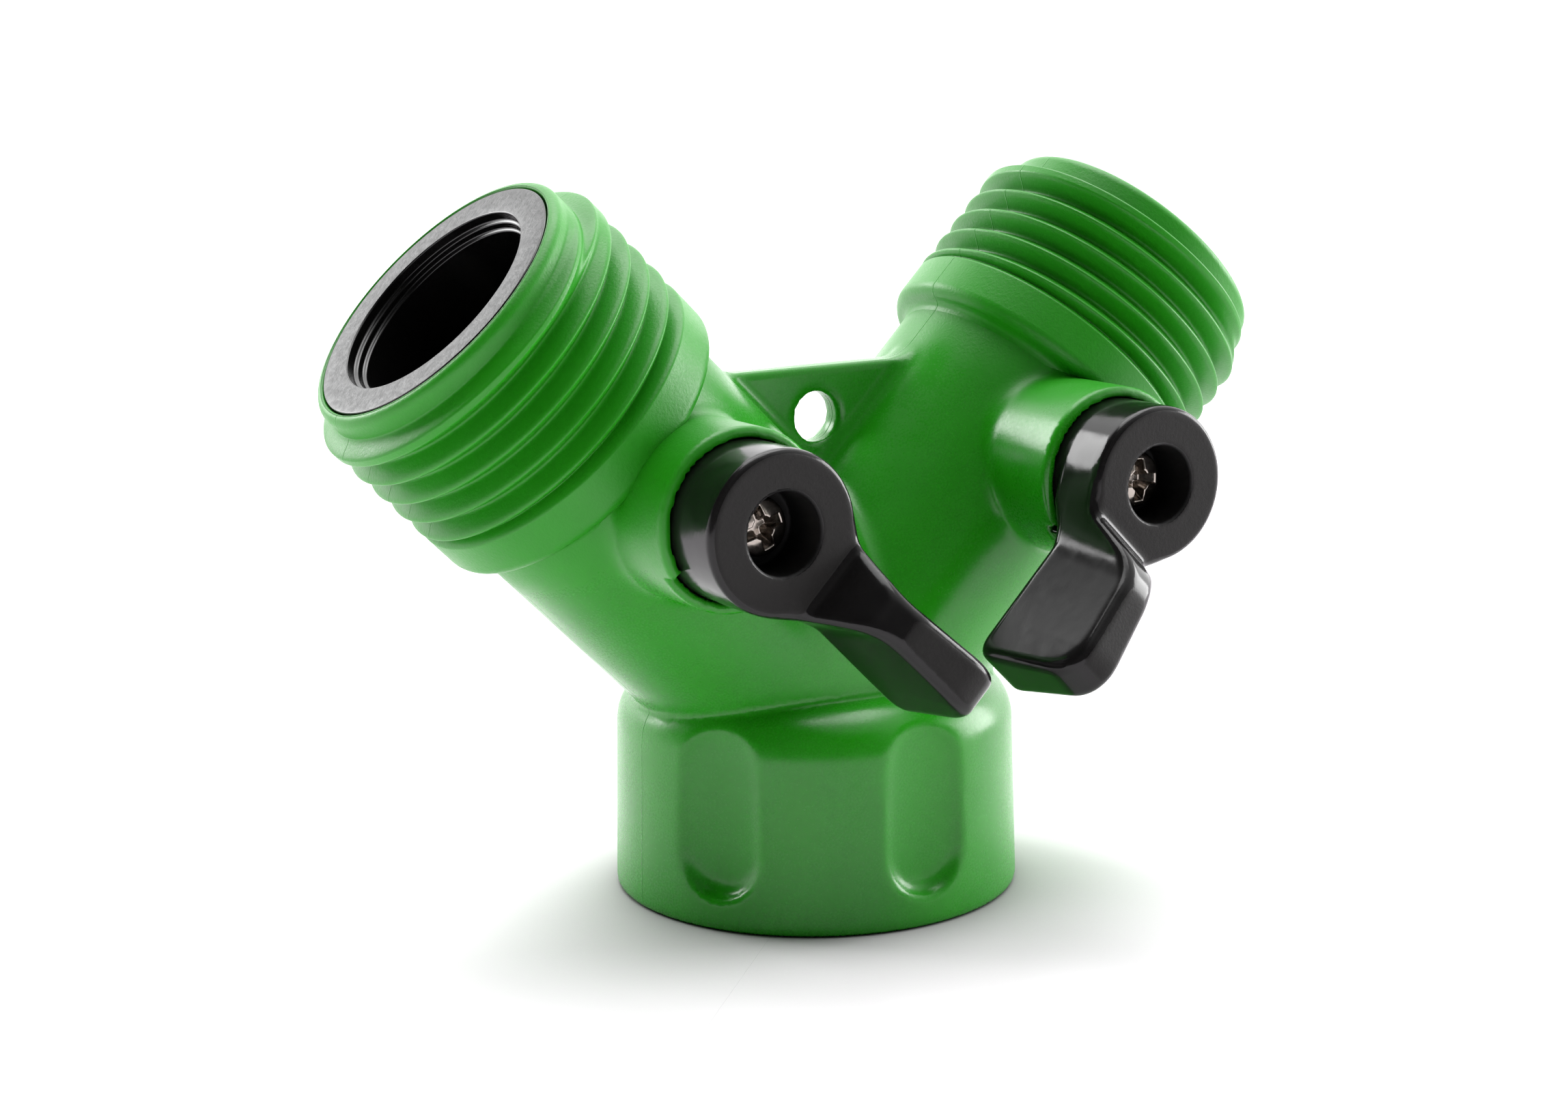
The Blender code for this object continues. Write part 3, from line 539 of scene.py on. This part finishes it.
def body_field(x, y, z):
    crotch = 0.05 + 1.0 * smooth((z - CROSS_Z - 4.0) / 6.0)
    arms = soft_min(arm_outside(-1.0, x, y, z), arm_outside(1.0, x, y, z), crotch)
    solid = soft_min(cuff_outside(x, y, z), arms, 0.5)
    solid = soft_min(solid, web_outside(x, y, z), 1.3)
    for _, side in SIDES:
        solid = soft_min(solid, boss_outside(side, x, y, z), 1.0)
    hole = np.hypot(x, z - WEB_HOLE_Z) - WEB_HOLE
    solid = soft_max(solid, -np.maximum(hole, np.abs(y) - 6.0), 0.4)
    solid = soft_max(solid, -inlet_inside(x, y, z), 0.3)
    for _, side in SIDES:
        solid = soft_max(solid, -arm_inside(side, x, y, z), 0.35)
        solid = soft_max(solid, -boss_inside(side, x, y, z), 0.12)
    return solid


# ---- lever ---------------------------------------------------------------
HUB = 6.15
HUB_FOOT = 14.9
HUB_FACE = 23.64
HUB_RECESS = 3.1
RECESS_FLOOR = 19.3
BLADE_BACK = 20.5
BLADE_BACK_HALF = 2.72
BLADE_FRONT_HALF = 1.50          # near the hub; the tip is wider
BLADE_SPREAD = 0.50
SHANK_HOLE = 1.4
SQUARE_HOLE = 2.6
# side view, along the lever and out from the ball
BLADE = [(5.0, 20.3), (19.5, 20.3), (18.2, 31.25), (7.9, 29.3), (5.0, 22.6)]
BLADE_ROUNDS = (0.0, 1.7, 3.4, 2.2, 0.4)
NECK = [(-1.0, 18.5), (5.6, 18.5), (8.6, 20.4), (9.0, 23.0), (6.2, HUB_FACE), (-1.0, HUB_FACE)]


def rounded(px, py, points, radii):
    """Convex outline, anticlockwise, softened where each edge joins on."""
    distance = None
    for (ax, ay), (bx, by), radius in zip(points, points[1:] + points[:1], radii):
        size = sqrt((bx - ax) ** 2 + (by - ay) ** 2)
        edge = ((by - ay) * (px - ax) - (bx - ax) * (py - ay)) / size
        distance = edge if distance is None else soft_max(distance, edge, radius)
    return distance


def lever_field(side):
    """Hub, neck and blade, hollowed for the screw and the spindle."""
    def field(x, y, z):
        a, c, h = valve_axes(side, x, y, z)
        rho = np.hypot(a, c)
        hub = corner(rho - HUB, h - HUB_FACE, 0.55)
        hub = soft_max(hub, HUB_FOOT - h, 0.4)
        forward = np.clip((a - 8.0) / 8.0, 0.0, 1.0)
        front = BLADE_FRONT_HALF + BLADE_SPREAD * forward
        rise = np.clip((h - BLADE_BACK) / 9.0, 0.0, 1.1)
        half = BLADE_BACK_HALF + (front - BLADE_BACK_HALF) * rise
        sides = np.maximum((np.abs(c) - half) * 0.99, 1.5 - a)
        plan = soft_min(rho - HUB, sides, 3.8)
        blade = rounded(a, h, BLADE, BLADE_ROUNDS)
        outline = soft_min(blade, polygon(a, h, NECK), 0.7)
        arm = soft_max(plan, outline, 0.95)
        solid = np.minimum(hub, arm)
        recess = np.maximum(rho - HUB_RECESS, RECESS_FLOOR - h)
        solid = soft_max(solid, -recess, 0.12)
        shank = np.maximum(rho - SHANK_HOLE, slab(h, 17.0, 20.0))
        square = np.maximum(np.abs(a), np.abs(c)) - SQUARE_HOLE
        socket = np.maximum(square, slab(h, 13.0, 18.3))
        solid = soft_max(solid, -np.minimum(shank, socket), 0.2)
        lug = np.maximum(slab(a, 5.0, 7.0), np.maximum(np.abs(c) - 1.3, slab(h, 17.2, 20.9)))
        return soft_min(solid, lug, 0.25)
    return field


# ---- inner pieces that turn with the lever -------------------------------
BALL_RADIUS = 8.2
PORT = 5.2
SLOT_HALF = 1.6
SLOT_FLOOR = 6.0
STEM = 4.2
STEM_FOOT = 8.6
STEM_TOP = 14.3
STEM_FLANGE = 5.25
O_RING_HEIGHT = 12.1
GROOVE = 2.75
GROOVE_HALF = 0.9
STEM_SQUARE = 2.3
SCREW_TOP = {-1.0: 20.75, 1.0: 21.25}   # the right one is driven less deep
SCREW_TURN = {-1.0: 65.0, 1.0: 45.0}    # degrees from the lever to a wing
SCREW_HEAD = 2.22
SCREW_DOME = 6.0
SCREW_SHANK = 1.1
CROSS_DEPTH = 1.2


def ball_field(side):
    """Drilled ball with the slot that the spindle's tongue turns."""
    def field(x, y, z):
        a, c, h = valve_axes(side, x, y, z)
        sphere = np.sqrt(a * a + c * c + h * h) - BALL_RADIUS
        port = np.hypot(c, h) - PORT
        slot = np.maximum(np.abs(a) - SLOT_HALF, SLOT_FLOOR - h)
        return soft_max(soft_max(sphere, -port, 0.4), -slot, 0.3)
    return field


def stem_field(side):
    """Grooved spindle: flange and tongue below, square above."""
    def field(x, y, z):
        a, c, h = valve_axes(side, x, y, z)
        rho = np.hypot(a, c)
        groove = np.where(np.abs(h - O_RING_HEIGHT) < GROOVE_HALF, GROOVE, STEM)
        solid = np.maximum(rho - groove, slab(h, STEM_FOOT, STEM_TOP))
        solid = np.minimum(solid, soft_max(rho - STEM_FLANGE, slab(h, STEM_FOOT, 9.7), 0.2))
        square = np.maximum(np.maximum(np.abs(a), np.abs(c)) - STEM_SQUARE, slab(h, 13.5, 18.0))
        tongue = np.maximum(np.maximum(np.abs(a) - 1.25, np.abs(c) - 3.7), slab(h, 6.3, 9.2))
        solid = np.minimum(np.minimum(solid, square), tongue)
        return np.maximum(solid, -np.maximum(rho - SHANK_HOLE, 12.5 - h))
    return field


def screw_field(side):
    """Pan head with a cross recess whose wings taper inwards, and shank."""
    top = SCREW_TOP[side]
    turn = radians(SCREW_TURN[side])

    def field(x, y, z):
        a, c, h = valve_axes(side, x, y, z)
        rho = np.hypot(a, c)
        dome = np.sqrt(a * a + c * c + (h - top + SCREW_DOME) ** 2) - SCREW_DOME
        head = corner(rho - SCREW_HEAD, np.maximum(dome, RECESS_FLOOR - h), 0.30)
        shank = np.maximum(rho - SCREW_SHANK, slab(h, 12.9, 19.6))
        solid = np.minimum(head, shank)
        u = np.abs(a * cos(turn) + c * sin(turn))
        w = np.abs(c * cos(turn) - a * sin(turn))
        depth = top - 0.15 - h
        reach = 1.72 - 0.75 * depth
        wide = 0.42 - 0.12 * depth
        one = np.maximum(u - reach, w - wide)
        two = np.maximum(w - reach, u - wide)
        core = rho - 0.85 + 0.30 * depth
        wings = np.minimum(np.minimum(one, two), core)
        cross = np.maximum(wings, depth - CROSS_DEPTH) * 0.85
        return soft_max(solid, -cross, 0.08)
    return field


# ---- materials -----------------------------------------------------------
class Surface:
    """Small builder for one procedural material in object coordinates, mm."""

    def __init__(self, name):
        self.material = bpy.data.materials.new(name)
        self.material.use_nodes = True
        self.tree = self.material.node_tree
        self.shader = self.tree.nodes["Principled BSDF"]
        self.coords = self.tree.nodes.new("ShaderNodeTexCoord")
        scale = self.tree.nodes.new("ShaderNodeVectorMath")
        scale.operation = "SCALE"
        scale.inputs["Scale"].default_value = 1000.0
        self.link(self.coords.outputs["Object"], scale.inputs[0])
        self.place = scale.outputs[0]

    def link(self, output, socket):
        self.tree.links.new(output, socket)

    def noise(self, scale, detail=2.0, roughness=0.5):
        node = self.tree.nodes.new("ShaderNodeTexNoise")
        node.inputs["Scale"].default_value = scale
        node.inputs["Detail"].default_value = detail
        node.inputs["Roughness"].default_value = roughness
        self.link(self.place, node.inputs["Vector"])
        return node.outputs["Fac"]

    def math(self, operation, a, b=None, c=None):
        node = self.tree.nodes.new("ShaderNodeMath")
        node.operation = operation
        for socket, value in zip(node.inputs, (a, b, c)):
            if value is None:
                continue
            if isinstance(value, (int, float)):
                socket.default_value = value
            else:
                self.link(value, socket)
        return node.outputs[0]

    def spread(self, value, low, high, out_low, out_high):
        node = self.tree.nodes.new("ShaderNodeMapRange")
        node.interpolation_type = "SMOOTHSTEP"
        self.link(value, node.inputs["Value"])
        node.inputs["From Min"].default_value = low
        node.inputs["From Max"].default_value = high
        for socket, level in (("To Min", out_low), ("To Max", out_high)):
            if isinstance(level, (int, float)):
                node.inputs[socket].default_value = level
            else:
                self.link(level, node.inputs[socket])
        return node.outputs["Result"]

    def blend(self, share, one, two):
        node = self.tree.nodes.new("ShaderNodeMix")
        node.data_type = "RGBA"
        self.link(share, node.inputs["Factor"])
        for socket, colour in ((node.inputs["A"], one), (node.inputs["B"], two)):
            if isinstance(colour, tuple):
                socket.default_value = (*colour, 1.0)
            else:
                self.link(colour, socket)
        return node.outputs["Result"]

    def axis(self, output, index):
        node = self.tree.nodes.new("ShaderNodeSeparateXYZ")
        self.link(output, node.inputs[0])
        return node.outputs[index]

    def bump(self, height, depth, before=None):
        node = self.tree.nodes.new("ShaderNodeBump")
        node.inputs["Strength"].default_value = 1.0
        node.inputs["Distance"].default_value = depth * MM
        self.link(height, node.inputs["Height"])
        if before is not None:
            self.link(before, node.inputs["Normal"])
        return node.outputs["Normal"]

    def finish(self, colour, roughness, normal, **values):
        self.link(colour, self.shader.inputs["Base Color"])
        self.link(roughness, self.shader.inputs["Roughness"])
        self.link(normal, self.shader.inputs["Normal"])
        for name, value in values.items():
            self.shader.inputs[name].default_value = value
        return self.material


GRAINED_FROM = 52.0              # x and z together, where the outlets start
GRAINED_OVER = 6.0


def green_plastic():
    """Moulded green: smooth on the bosses, grained towards the outlets."""
    s = Surface("green_plastic_look")
    cloud = s.spread(s.noise(0.11, 3.0), 0.3, 0.7, 0.0, 1.0)
    colour = s.blend(cloud, (0.0120, 0.245, 0.0030), (0.0150, 0.275, 0.0042))
    out = s.math("ADD", s.math("ABSOLUTE", s.axis(s.place, 0)), s.axis(s.place, 2))
    grained = (GRAINED_FROM, GRAINED_FROM + GRAINED_OVER)
    flecks = s.spread(s.noise(5.0, 3.0), 0.3, 0.75, -0.03, 0.05)
    patches = s.spread(s.noise(0.2, 2.0), 0.3, 0.7, -0.03, 0.04)
    roughness = s.math("ADD", flecks, s.spread(out, *grained, 0.26, 0.40))
    roughness = s.math("ADD", roughness, patches)
    seam = s.spread(s.math("ABSOLUTE", s.axis(s.place, 1)), 0.0, 0.09, 1.0, 0.0)
    grain = s.math("MULTIPLY", s.noise(4.2, 3.0, 0.6), s.spread(out, *grained, 0.3, 1.0))
    normal = s.bump(grain, 0.022)
    normal = s.bump(s.noise(0.16, 1.0), 0.05, normal)
    normal = s.bump(seam, 0.03, normal)
    return s.finish(colour, roughness, normal, IOR=1.47)


def black_plastic():
    """Glossy sides, matt faces square to the valve axis, painted shade in the screw recess."""
    s = Surface("black_plastic_look")
    facing = s.math("MULTIPLY", s.axis(s.coords.outputs["Normal"], 1), -1.0)
    front = s.spread(facing, 0.90, 0.975, 0.0, 1.0)
    aside = s.math("SUBTRACT", s.math("ABSOLUTE", s.axis(s.place, 0)), BALL_X)
    height = s.math("SUBTRACT", s.axis(s.place, 2), BALL_Z)
    squares = s.math("ADD", s.math("MULTIPLY", aside, aside), s.math("MULTIPLY", height, height))
    # painted shade: round the valve axis, inside the hub's screw recess, the colour turns near-black to
    # stand in for the shade down the hole
    recess = s.spread(squares, (HUB_RECESS + 0.05) ** 2, (HUB_RECESS + 0.25) ** 2, 1.0, 0.0)
    gloss = s.blend(s.noise(0.4), (0.0060, 0.0058, 0.0060), (0.0085, 0.0080, 0.0080))
    matt = s.blend(s.noise(1.1, 4.0, 0.7), (0.0025, 0.0021, 0.0018), (0.0060, 0.0052, 0.0046))
    # the last, near-black colour is the recess's painted shade
    colour = s.blend(recess, s.blend(front, gloss, matt), (0.0015, 0.0014, 0.0014))
    shine = s.spread(s.noise(0.8), 0.3, 0.7, 0.12, 0.18)
    roughness = s.spread(front, 0.0, 1.0, shine, 0.62)
    roughness = s.math("MAXIMUM", roughness, s.math("MULTIPLY", recess, 0.6))
    grain = s.math("MULTIPLY", s.noise(4.0, 2.0, 0.6), s.math("MULTIPLY_ADD", front, 0.9, 0.1))
    normal = s.bump(grain, 0.022)
    normal = s.bump(s.noise(0.55, 1.0), 0.010, normal)
    return s.finish(colour, roughness, normal, IOR=1.37)


def black_matt_plastic():
    """Matt on the ring's end face, smooth down its bore, where painted shade makes it near-black."""
    s = Surface("black_matt_plastic_look")
    up = s.spread(s.axis(s.coords.outputs["Normal"], 2), 0.60, 0.69, 0.0, 1.0)
    aside = s.math("ABSOLUTE", s.axis(s.coords.outputs["Normal"], 0))
    face = s.math("MULTIPLY", up, s.spread(aside, 0.60, 0.69, 0.0, 1.0))
    grey = s.blend(s.noise(1.3, 4.0, 0.7), (0.010, 0.010, 0.010), (0.026, 0.027, 0.026))
    # painted shade: the bore is coloured far darker than the end face, standing in for the shade inside
    # the ring
    dark = s.blend(s.noise(0.8), (0.0015, 0.0015, 0.0015), (0.0030, 0.0030, 0.0030))
    roughness = s.spread(face, 0.0, 1.0, 0.20, s.spread(s.noise(2.0), 0.3, 0.7, 0.42, 0.52))
    grain = s.math("MULTIPLY", s.noise(3.6, 3.0, 0.6), face)
    return s.finish(s.blend(face, dark, grey), roughness, s.bump(grain, 0.05), IOR=1.50)


def black_rubber():
    s = Surface("black_rubber_look")
    colour = s.blend(s.noise(0.7, 3.0), (0.010, 0.010, 0.010), (0.018, 0.018, 0.018))
    roughness = s.spread(s.noise(2.0), 0.3, 0.7, 0.55, 0.68)
    normal = s.bump(s.noise(2.5, 3.0), 0.01)
    return s.finish(colour, roughness, normal, IOR=1.50)


def nickel_steel():
    s = Surface("nickel_steel_look")
    colour = s.blend(s.noise(1.5, 3.0), (0.30, 0.27, 0.235), (0.44, 0.40, 0.36))
    roughness = s.spread(s.noise(3.0, 3.0), 0.3, 0.7, 0.12, 0.22)
    normal = s.bump(s.noise(2.0, 2.0), 0.006)
    return s.finish(colour, roughness, normal, Metallic=1.0)


GREEN = green_plastic()
BLACK = black_plastic()
MATT = black_matt_plastic()
RUBBER = black_rubber()
NICKEL = nickel_steel()


# ---- building ------------------------------------------------------------
def fit(piece, node, body, material):
    piece.data.materials.append(material)
    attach(piece, body)
    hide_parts(node)


def box_of(node, spare=0.3):
    low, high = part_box(node)
    return [v - spare for v in mm(low)], [v + spare for v in mm(high)]


def build_field(node, body, material, field, step):
    low, high = box_of(node)
    fit(field_mesh(node + "_piece", field, low, high, step), node, body, material)


def build_ring(node, body, material, profile, matrix, steps, radius=0.12):
    fit(turned(node + "_piece", profile, matrix, steps, radius), node, body, material)


def round_section(centre, height, radius, count=14):
    return [(centre + radius * cos(2.0 * pi * i / count),
             height + radius * sin(2.0 * pi * i / count)) for i in range(count)]


# ring sizes, radii and places along the arm from the ball centre
FACE = OUTLET - BALL
RETAINER_HEAD = 11.03
RETAINER_BODY = 9.7
RETAINER_GROOVE = 8.35
RETAINER_BACK = 8.9
LIP = 8.59
STEP = 8.27
BORE = 7.97
SEAT_BORE = 5.6
SEAT_MEETS_BALL = 5.85
SEAT_BACK = 8.6
WASHER = (7.9, 12.2)


def retainer_profile():
    return [(RETAINER_HEAD, FACE), (LIP, FACE), (LIP, FACE - 0.75), (STEP, FACE - 0.85),
            (STEP, FACE - 1.35), (BORE, FACE - 1.45), (BORE, RETAINER_BACK),
            (RETAINER_BODY, RETAINER_BACK), (RETAINER_BODY, FACE - 8.9),
            (RETAINER_GROOVE, FACE - 8.9), (RETAINER_GROOVE, FACE - 7.1),
            (RETAINER_BODY, FACE - 7.1), (RETAINER_BODY, FACE - 3.0), (RETAINER_HEAD, FACE - 3.0)]


def seat_profile(way):
    return [(RETAINER_BODY, way * SEAT_MEETS_BALL), (RETAINER_BODY, way * SEAT_BACK),
            (SEAT_BORE, way * SEAT_BACK), (SEAT_BORE, way * 6.25), (5.95, way * SEAT_MEETS_BALL)]


def build_side(name, side):
    """All pieces of one arm but its moulded end."""
    arm = arm_matrix(side)
    stem_line = frame_matrix(Vector((1, 0, 0)), Vector((0, 0, 1)), Vector((0, -1, 0)),
                             (side * BALL_X, 0.0, BALL_Z))
    valve = name + "_valve"
    build_ring(name + "_seat_retainer", "fitting", MATT, retainer_profile(), arm, 192)
    build_ring(name + "_outer_seat", "fitting", RUBBER, seat_profile(1.0), arm, 96)
    build_ring(name + "_inner_seat", "fitting", RUBBER, seat_profile(-1.0), arm, 96)
    build_ring(name + "_retainer_o_ring", "fitting", RUBBER,
               round_section(9.17, FACE - 8.0, 0.80), arm, 96, 0.02)
    build_ring(name + "_stem_o_ring", valve, RUBBER,
               round_section(3.62, O_RING_HEIGHT, 0.84), stem_line, 64, 0.02)
    build_field(name + "_ball", valve, BLACK, ball_field(side), 0.30)
    build_field(name + "_stem", valve, BLACK, stem_field(side), 0.22)
    build_field(name + "_lever", valve, BLACK, lever_field(side), 0.22)
    build_field(name + "_lever_screw", valve, NICKEL, screw_field(side), 0.07)


def build_washer():
    low, high = (mm(end)[2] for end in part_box("inlet_washer"))
    inner, outer = WASHER
    build_ring("inlet_washer", "fitting", RUBBER,
               [(outer, low), (outer, high), (inner, high), (inner, low)],
               Matrix.Identity(4), 160, 0.35)


build_field("y_body", "fitting", GREEN, body_field, 0.415)
for side_name, side_sign in SIDES:
    fit(sleeve(side_name + "_outlet_thread_piece", side_sign), "y_body", "fitting", GREEN)
build_washer()
for side_name, side_sign in SIDES:
    build_side(side_name, side_sign)


# ---- floor, light and camera ---------------------------------------------
AZIMUTH = radians(-31.591)
ELEVATION = 11.292               # degrees, as bearing() takes them
ROLL = radians(-0.817)
DISTANCE = 0.220925
LENS = 61.68
AIM_ACROSS = -0.002314
AIM_UP = 0.0280
WORLD_PEAK = 2.5
SOFTBOX_AWAY = 0.80
FLOOR_HALF = 12.0
FLOOR_COLOUR = (0.93, 0.895, 0.93, 1.0)
CONTACT_SHADE = 0.016            # reach of the painted contact shadow on the floor


def add_floor():
    """Plain pale floor with a painted contact shadow: ambient occlusion darkens its colour close to the
    object.
    """
    corners = np.array([(-1, -1, 0), (1, -1, 0), (1, 1, 0), (-1, 1, 0)]) * FLOOR_HALF
    floor = new_mesh("studio_floor", corners + (0.0, 0.0, CAD_LOW[2]), np.array([(0, 1, 2, 3)]))
    material = bpy.data.materials.new("studio_floor_look")
    material.use_nodes = True
    shader = material.node_tree.nodes["Principled BSDF"]
    # painted shadow: the floor's colour is multiplied by ambient occlusion near the object
    painted_contact_shadow = material.node_tree.nodes.new("ShaderNodeAmbientOcclusion")
    painted_contact_shadow.samples = 16
    painted_contact_shadow.inputs["Color"].default_value = FLOOR_COLOUR
    painted_contact_shadow.inputs["Distance"].default_value = CONTACT_SHADE
    material.node_tree.links.new(painted_contact_shadow.outputs["Color"], shader.inputs["Base Color"])
    shader.inputs["Roughness"].default_value = 0.9
    shader.inputs["Specular IOR Level"].default_value = 0.1
    floor.data.materials.append(material)


def bearing(turn, rise):
    """Direction turn degrees round from the camera's side, rise degrees up."""
    azimuth, elevation = AZIMUTH + radians(turn), radians(rise)
    return Vector((sin(azimuth) * cos(elevation), -cos(azimuth) * cos(elevation), sin(elevation)))


def direction_ramp(tree, coords, toward, stops):
    """Brightness by the cosine of the angle from one direction."""
    dot = tree.nodes.new("ShaderNodeVectorMath")
    dot.operation = "DOT_PRODUCT"
    dot.inputs[1].default_value = toward
    shift = tree.nodes.new("ShaderNodeMath")
    shift.operation = "MULTIPLY_ADD"
    shift.inputs[1].default_value = 0.5
    shift.inputs[2].default_value = 0.5
    ramp = tree.nodes.new("ShaderNodeValToRGB")
    for index, (place, level) in enumerate(stops):
        entry = ramp.color_ramp.elements[index] if index < 2 else ramp.color_ramp.elements.new(place)
        entry.position = place
        entry.color = (level, level, level, 1.0)
    tree.links.new(coords.outputs["Generated"], dot.inputs[0])
    tree.links.new(dot.outputs["Value"], shift.inputs[0])
    tree.links.new(shift.outputs[0], ramp.inputs[0])
    return ramp.outputs[0]


def add_world():
    """White room: bright behind, dark round the camera and upper left."""
    world = bpy.data.worlds.new("studio")
    bpy.context.scene.world = world
    world.use_nodes = True
    tree = world.node_tree
    background = tree.nodes["Background"]
    coords = tree.nodes.new("ShaderNodeTexCoord")
    room = direction_ramp(tree, coords, bearing(0.0, 0.0), [
        (0.0, 1.00), (0.25, 0.95), (0.42, 0.58), (0.55, 0.45),
        (0.65, 0.34), (0.75, 0.15), (0.85, 0.05), (1.0, 0.035)])
    shade = direction_ramp(tree, coords, bearing(-72.0, 43.0), [
        (0.0, 1.0), (0.87, 1.0), (0.94, 0.08), (1.0, 0.04)])
    product = tree.nodes.new("ShaderNodeMix")
    product.data_type = "RGBA"
    product.blend_type = "MULTIPLY"
    product.inputs["Factor"].default_value = 1.0
    tree.links.new(room, product.inputs["A"])
    tree.links.new(shade, product.inputs["B"])
    tree.links.new(product.outputs["Result"], background.inputs["Color"])
    background.inputs["Strength"].default_value = WORLD_PEAK


def add_softbox(name, back, width, height, power):
    light = bpy.data.lights.new(name, "AREA")
    light.shape = "RECTANGLE"
    light.size = width
    light.size_y = height
    light.energy = power
    item = bpy.data.objects.new(name, light)
    bpy.context.scene.collection.objects.link(item)
    item.location = Vector((0.0, 0.0, AIM_UP)) + back * SOFTBOX_AWAY
    item.rotation_euler = back.to_track_quat("Z", "Y").to_euler()


def add_camera():
    back = bearing(0.0, ELEVATION)
    level = Vector((0.0, 0.0, 1.0)).cross(back).normalized()
    upright = back.cross(level)
    right = cos(ROLL) * level + sin(ROLL) * upright
    up = cos(ROLL) * upright - sin(ROLL) * level
    target = Vector((AIM_ACROSS * cos(AZIMUTH), AIM_ACROSS * sin(AZIMUTH), AIM_UP))
    data = bpy.data.cameras.new("camera")
    data.sensor_fit = "HORIZONTAL"
    data.sensor_width = 36.0
    data.lens = LENS
    data.clip_start = 0.01
    data.dof.use_dof = False
    camera = bpy.data.objects.new("camera", data)
    matrix = Matrix((right, up, back)).transposed().to_4x4()
    matrix.translation = target + back * DISTANCE
    camera.matrix_world = matrix
    bpy.context.scene.collection.objects.link(camera)
    bpy.context.scene.camera = camera


add_floor()
add_camera()
add_world()
add_softbox("softbox_left", bearing(-119.0, 27.0), 0.38, 0.36, 3.7)
add_softbox("softbox_right", bearing(109.0, 12.0), 0.42, 0.40, 4.4)
add_softbox("softbox_top", bearing(180.0, 76.0), 0.60, 0.60, 4.2)
bpy.context.scene.view_settings.view_transform = "Standard"
bpy.context.scene.view_settings.look = "None"
